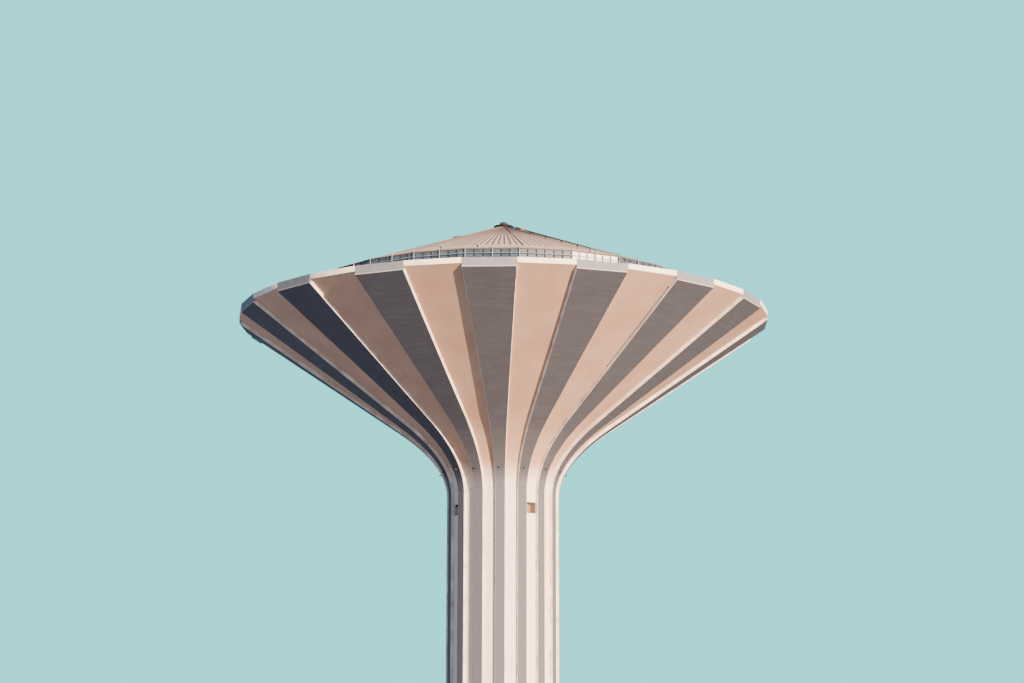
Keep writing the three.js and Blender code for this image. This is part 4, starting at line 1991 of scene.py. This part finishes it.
        # one side's panels wear the painted sun reflection, the rest plain enamel
        painted_reflection = (self.reflection_side, 1, self.palette.painted_reflection)
        return [
            self.seat(self.build_wall(), "gallery_panel", walls),
            self.seat(self.build_transoms(), "gallery_panel"),
            self.seat(self.build_panels("enamelled_panels", *others), "gallery_panel"),
            self.seat(self.build_panels("panels_with_painted_reflection", *painted_reflection), "gallery_panel"),
            self.seat(self.build_coping(), "gallery_panel"),
            self.seat(self.build_posts(), "galvanised_steel", rails),
            self.seat(self.build_rail(), "galvanised_steel"),
        ]


@dataclass
class Roof(LidAssembly):
    """The sheet roof: trays between standing seams, folded onto the plan's sides."""

    apex: float = 10.2
    slope: float = 0.364
    seams: int = 176
    foot: float = 20.1
    seam_foot: float = 17.4
    seam_end: float = 0.1
    thickness: float = 0.1
    seam_height: float = 0.02
    seam_half_width: float = 0.025
    weld: float = 0.002
    # distances from the axis of the upper rings of points, the first of them the top
    rings: tuple[float, ...] = (0.9, 1.6, 2.6, 4.0, 7.0, 11.0, 15.0)

    def surface(self, out: float) -> float:
        """Gives the roof's height above the ground, square to a side of the plan."""
        return self.at_rim(self.apex - self.slope * out / self.flatness)

    def tray(self) -> Shape:
        """Builds one tray with half the sheet to each side of its seam.

        Returns:
            The tray on bearing 0, open where the next trays join it.
        """
        plain = self.seam_foot + self.seam_end
        reach = [*self.rings, self.seam_foot, plain, self.foot * self.flatness]
        upper: list[Vector] = []
        lower: list[Vector] = []
        spans: list[list[float]] = []
        for out in reach:
            room = math.tau / self.seams * out
            half = min(self.seam_half_width, 0.2 * room)
            rise = min(self.seam_height, 0.5 * room) if out < plain else 0.0
            spread = [-room / 2, -half, -half * 0.6, half * 0.6, half, room / 2]
            height = self.surface(out) - self.seam_height
            for across, raised in zip(spread, (0, 0, rise, rise, 0, 0)):
                bearing = math.degrees(across / out)
                upper.append(place(bearing, out, 0, height + raised))
                lower.append(place(bearing, out, 0, height - self.thickness))
            spans.append(spread)
        shape = Shape(points=[*upper, *lower])
        columns, below, last = len(spans[0]), len(upper), len(reach) - 1
        for i in range(last):
            for j in range(columns - 1):
                quad = ((i, j), (i, j + 1), (i + 1, j + 1), (i + 1, j))
                corners = [row * columns + column for row, column in quad]
                mapped = [(spans[row][column], reach[row]) for row, column in quad]
                shape.add_face(corners, mapped)
                shape.add_face([n + below for n in corners[::-1]], mapped[::-1])
        for i, way in ((0, 1), (last, -1)):
            for j in range(columns - 1):
                a, b = i * columns + j, i * columns + j + 1
                end = (b, a, a + below, b + below)
                shape.add_face(end[::way], [(spans[i][j], 0.0)] * 4)
        return shape

    def build(self) -> list[Piece]:
        """Builds one tray with its seam, repeats it and folds the whole.

        Returns:
            The roof alone.
        """
        fold = {"Side": self.turn, "Corner": self.first_corner - 90, "Weld": self.weld}
        steps = [self.round_axis(self.seams, 0.0, 360 / self.seams), (self.trees.fold, fold)]
        piece = self.tray().make("seamed_roof", [self.palette.roof], steps, crease=25)
        return [self.seat(piece, "roof_sheet", [f"roof_{k}" for k in range(1, 9)])]


@dataclass(frozen=True)
class Boxed:
    """A fitting made of boxes: its bearing and distance out, its rounding and its boxes."""

    place: Pair
    rounding: float
    # each box by its middle, its size and what it wears
    boxes: tuple[tuple[Triple, Triple, Part], ...]


@dataclass
class RoofFittings(LidAssembly):
    """What stands on the roof: apex vent, handrail, hatch, vents and conductor."""

    roof: Roof = field(kw_only=True)
    collar_radius: float = 1.08
    collar_top: float = 10.2
    dome_radius: float = 0.47
    dome_top: float = 10.57
    dome_foot: float = 0.03
    # keeps the dome just under the top of its solid
    dome_gap: float = 0.004
    fins: int = 36
    # a fin's width and depth, what its height leaves free and how far it hangs off the middle
    fin_size: Pair = (0.03, 0.1)
    fin_free: float = 0.22
    fin_drop: float = 0.1
    rail_bearing: float = 16.7
    rail_foot: float = 3.28
    rail_foot_out: float = 20.047
    rail_head_out: float = 1.3
    rail_clearance: float = 0.14
    rail_radius: float = 0.06
    rail_bend: float = 0.25
    rail_sunk: float = 0.02
    stanchions: int = 5
    stanchion_span: float = 0.95
    coping_top: float = 2.83
    hatch: Boxed = Boxed(
        place=(33.22, 2.7),
        rounding=0.01,
        # kerb, lid, two hinges and a pull
        boxes=(
            ((0, 0, 0.08), (0.62, 0.62, 0.2), Part.MAIN),
            ((0, 0, 0.195), (0.7, 0.7, 0.05), Part.MAIN),
            *(((x, 0.33, 0.15), (0.09, 0.05, 0.07), Part.EDGE) for x in (-0.22, 0.22)),
            ((0, -0.3, 0.225), (0.2, 0.04, 0.02), Part.EDGE),
        ),
    )
    vent_box: Boxed = Boxed(
        place=(-56.78, 6.6),
        rounding=0.008,
        # body, lid and four louvres
        boxes=(
            ((0, 0, 0.03), (0.54, 0.54, 0.14), Part.MAIN),
            ((0, 0, 0.115), (0.62, 0.62, 0.03), Part.MAIN),
            *(
                ((0, y, z), (0.46, 0.03, 0.02), Part.EDGE)
                for z in (0.03, 0.07)
                for y in (-0.28, 0.28)
            ),
        ),
    )
    cowls: tuple[Pair, ...] = ((-16.1, 19.45), (-27.1, 19.45))
    cowl_rings: tuple[Pair, ...] = (
        # foot flange, neck and hood
        (0.09, -0.06),
        (0.09, 0.01),
        (0.06, 0.03),
        (0.06, 0.13),
        (0.1, 0.14),
        (0.105, 0.2),
        (0.06, 0.24),
        (0.01, 0.25),
    )
    conductor_bearing: float = -2.45
    # the conductor starts under the collar's skirt, at a share of its radius
    conductor_head: float = 0.95
    conductor_foot: float = 18.6
    conductor_lift: float = 0.03
    conductor_radius: float = 0.04
    conductor_steps: int = 8
    clips: int = 18
    clip_radius: float = 0.055
    clip_width: float = 0.05

    def on_roof(self, bearing: float, out: float) -> Matrix:
        """Gives a frame on the roof.

        Args:
            bearing: Degrees round the axis.
            out: Distance from the axis.

        Returns:
            A frame whose Z stands square to the slope and whose Y runs up it.
        """
        lean = math.atan(self.roof.slope / self.flatness)
        return (
            Matrix.Rotation(math.radians(bearing), 4, "Z")
            @ Matrix.Translation((0, -out, self.roof.surface(out)))
            @ Matrix.Rotation(lean, 4, "X")
        )

    def build_apex(self) -> Piece:
        """Builds the vent: skirt, louvred collar, cap and dome.

        Returns:
            The vent.
        """
        r, dome = self.collar_radius, self.dome_radius
        foot, top = self.roof.surface(r), self.at_rim(self.collar_top)
        seat = top + self.dome_foot
        rise = self.dome_top - self.collar_top - self.dome_foot - self.dome_gap
        collar = [
            # skirt on the sheets
            (0.02, foot - 0.02),
            (r * 0.99, foot - 0.02),
            (r, foot + 0.03),
            (r * 0.9, foot + 0.08),
            # collar behind the fins
            (r * 0.86, foot + 0.09),
            (r * 0.86, top - 0.2),
            # cap
            (r * 0.99, top - 0.2),
            (r, top - 0.17),
            (r * 0.96, top - 0.13),
            (dome * 1.06, top),
            (dome * 1.02, seat),
        ]
        bowl = arc((0.0, seat), (dome, rise), range(0, 81, 10))
        shape = Shape()
        shape.lathe([*collar, *bowl], 48, part=lambda i, j: Part.MAIN if i < 9 else Part.TRIM)
        # painted shade: the hood and fins wear the black gasket finish, standing in for the shade
        # in the louvred recess; the dome keeps its own finish
        finishes = [self.palette.joint, self.palette.joint, self.palette.cap]
        body = shape.make("apex_vent_hood", finishes, crease=30)
        fin = Shape()
        middle = Matrix.Translation((0, -r * 0.9, (foot + top) / 2 - self.fin_drop))
        fin.box(middle, (0, 0, 0), (*self.fin_size, top - foot - self.fin_free))
        steps = [self.round_axis(self.fins, 0.0, 360 / self.fins)]
        return join_pieces([body, fin.make("apex_vent_fins", finishes, steps, crease=30)])

    def build_handrail(self) -> Piece:
        """Builds the handrail up the roof, with its foot post and stanchions.

        Returns:
            The handrail.
        """
        b, top, end = self.rail_bearing, self.rail_head_out, self.rail_foot_out
        foot = self.at_rim(self.rail_foot)
        head = self.roof.surface(top) + self.rail_clearance
        shape = Shape()
        shape.path(
            [
                place(b, top, 0, self.roof.surface(top) - self.rail_sunk),
                place(b, top, 0, head),
                place(b, end, 0, foot),
                place(b, end, 0, self.at_rim(self.coping_top)),
            ]
        )
        for k in range(self.stanchions):
            share = (k + 0.5) / self.stanchions * self.stanchion_span
            out, rail = top + (end - top) * share, head + (foot - head) * share
            shape.path([place(b, out, 0, self.roof.surface(out)), place(b, out, 0, rail)])
        pipe = {"Radius": self.rail_radius, "Sides": 10, "Bend": self.rail_bend}
        finishes = [self.palette.paint]
        return shape.make("roof_rail", finishes, [(self.trees.pipe, pipe)], crease=50)

    def build_boxed(self, name: str, fitting: Boxed, finish: Finish) -> Piece:
        """Builds a fitting made of boxes.

        Args:
            name: The piece's name.
            fitting: Its place and its boxes.
            finish: What its body wears.

        Returns:
            The fitting.
        """
        shape = Shape()
        for middle, size, part in fitting.boxes:
            shape.box(self.on_roof(*fitting.place), middle, size, part)
        return shape.make(name, [finish, self.palette.zinc], crease=35, bevel=fitting.rounding)

    def build_cowls(self) -> Piece:
        """Builds the two cowls near the eaves.

        Returns:
            The cowls.
        """
        shape = Shape()
        for bearing, out in self.cowls:
            foot = place(bearing, out, 0, self.roof.surface(out))
            shape.lathe(self.cowl_rings, 12, Matrix.Translation(foot))
        return shape.make("roof_cowls", [self.palette.joint], crease=35)

    def build_conductor(self) -> Piece:
        """Builds the conductor that runs down the roof from the apex in its clips.

        Returns:
            The conductor.
        """
        b, steps, lift = self.conductor_bearing, self.conductor_steps, self.conductor_lift
        head = self.collar_radius * self.conductor_head
        reach = [head + (self.conductor_foot - head) * k / steps for k in range(steps + 1)]
        shape = Shape()
        shape.path([place(b, out, 0, self.roof.surface(out) + lift) for out in reach])
        pipe = {
            "Radius": self.conductor_radius,
            "Sides": 8,
            "Clips": self.clips,
            "Clip radius": self.clip_radius,
            "Clip width": self.clip_width,
        }
        finishes = [self.palette.paint]
        return shape.make("roof_conductor", finishes, [(self.trees.pipe, pipe)], crease=50)

    def build(self) -> list[Piece]:
        """Builds all that stands on the roof.

        Returns:
            Vent, handrail, hatch, vent box, cowls and conductor.
        """
        hatch = ("roof_hatch_lid", self.hatch, self.palette.roof)
        vent_box = ("roof_vent_louvres", self.vent_box, self.palette.paint)
        return [
            self.seat(self.build_apex(), "dark_metal", ["apex_vent"]),
            self.seat(self.build_handrail(), "dark_metal", ["roof_handrail"]),
            self.seat(self.build_boxed(*hatch), "roof_sheet", ["roof_hatch"]),
            self.seat(self.build_boxed(*vent_box), "dark_metal", ["roof_vent_box"]),
            self.seat(self.build_cowls(), "dark_metal"),
            self.seat(self.build_conductor(), "dark_metal"),
        ]


@dataclass
class TankFloor(Assembly):
    """The slab in the head of the stem, whose own solid stays."""

    def build(self) -> list[Piece]:
        """Gives the carried slab its cast finish.

        Returns:
            The slab.
        """
        slab = bpy.data.objects["tank_floor"]
        for slot in slab.material_slots:
            slot.material = self.palette.walk
        return [slab]


# Studio


@dataclass(frozen=True)
class Studio:
    """A pale floor, a warm low key light and a soft cool fill all round."""

    floor_radius: float = 900.0
    floor_top: float = -0.02
    floor_foot: float = -2.0
    key_bearing: float = 27.0
    key_elevation: float = 11.0
    key_strength: float = 20.0
    key_softness: float = 0.6
    key_colour: Triple = (1.0, 0.7, 0.48)
    fill_colour: Triple = (0.24, 0.36, 0.52)
    backdrop: Triple = (0.32, 1.45, 1.45)

    def build_floor(self, finish: Finish) -> Piece:
        """Builds the floor, which isn't part of the tower.

        Args:
            finish: What it wears.

        Returns:
            The floor.
        """
        shape = Shape()
        shape.lathe([(self.floor_radius, self.floor_foot), (self.floor_radius, self.floor_top)], 64)
        floor = shape.make("studio_floor", [finish])
        return floor

    def build_key(self) -> None:
        """Builds the key light, a low sun."""
        lamp = bpy.data.lights.new("key_light", "SUN")
        lamp.energy = self.key_strength
        lamp.angle = math.radians(self.key_softness)
        lamp.color = self.key_colour
        light = bpy.data.objects.new("key_light", lamp)
        rise = math.radians(self.key_elevation)
        towards = outward(self.key_bearing) * math.cos(rise) + Vector((0, 0, math.sin(rise)))
        light.rotation_euler = towards.to_track_quat("Z", "Y").to_euler()
        bpy.context.scene.collection.objects.link(light)

    def build_fill(self) -> None:
        """Builds the fill, a cool light from all round, with a pale backdrop."""
        world = bpy.data.worlds.new("studio")
        world.use_nodes = True
        world.node_tree.nodes.clear()
        sky = Wiring(world.node_tree)
        fill, seen = (
            sky.add("ShaderNodeBackground", {"Color": (*colour, 1), "Strength": 1.0})
            for colour in (self.fill_colour, self.backdrop)
        )
        ray = sky.add("ShaderNodeLightPath").outputs["Is Camera Ray"]
        both = sky.add("ShaderNodeMixShader", {0: ray, 1: fill, 2: seen})
        sky.add("ShaderNodeOutputWorld", {0: both})
        bpy.context.scene.world = world


@dataclass(frozen=True)
class Viewpoint:
    """The photographer's place, fitted to the rim, the stem and the cone's edge."""

    bearing: float = -8.479
    distance: float = 233.24
    eye: float = 1.6
    pitch: float = 11.40
    yaw: float = 0.225
    roll: float = 0.09
    lens: float = 78.70
    sensor: float = 36.0
    far: float = 1000.0

    def build(self) -> None:
        """Builds the camera and makes it the scene's own."""
        data = bpy.data.cameras.new("viewpoint")
        data.lens = self.lens
        data.sensor_width = self.sensor
        data.sensor_fit = "HORIZONTAL"
        data.clip_end = self.far
        camera = bpy.data.objects.new("viewpoint", data)
        turn = Matrix.Rotation(math.radians(self.bearing - self.yaw), 4, "Z")
        tilt = Matrix.Rotation(math.radians(90 + self.pitch), 4, "X")
        roll = Matrix.Rotation(math.radians(self.roll), 4, "Z")
        where = place(self.bearing, self.distance, 0, self.eye) * SCALE
        camera.matrix_world = Matrix.Translation(where) @ turn @ tilt @ roll
        bpy.context.scene.collection.objects.link(camera)
        bpy.context.scene.camera = camera


def main() -> None:
    """Loads the frame and builds the tower and its studio, in order."""
    logging.basicConfig(level=logging.INFO, format="%(message)s")
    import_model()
    Viewpoint().build()
    palette = Palette()
    studio = Studio()
    studio.build_floor(palette.floor)
    studio.build_key()
    studio.build_fill()
    parts = (palette, Trees(), Outline())
    roof = Roof(*parts)
    assemblies: list[Assembly] = [
        Shell(*parts),
        Ribs(*parts),
        Windows(*parts),
        Drains(*parts),
        Conduit(*parts),
        Gallery(*parts),
        roof,
        RoofFittings(*parts, roof=roof),
        TankFloor(*parts),
    ]
    for assembly in assemblies:
        for piece in assembly.build():
            piece.data.calc_loop_triangles()
            count = len(piece.data.loop_triangles)
            LOG.info("%s: %s, %d triangles", type(assembly).__name__, piece.name, count)


if __name__ == "__main__":
    main()
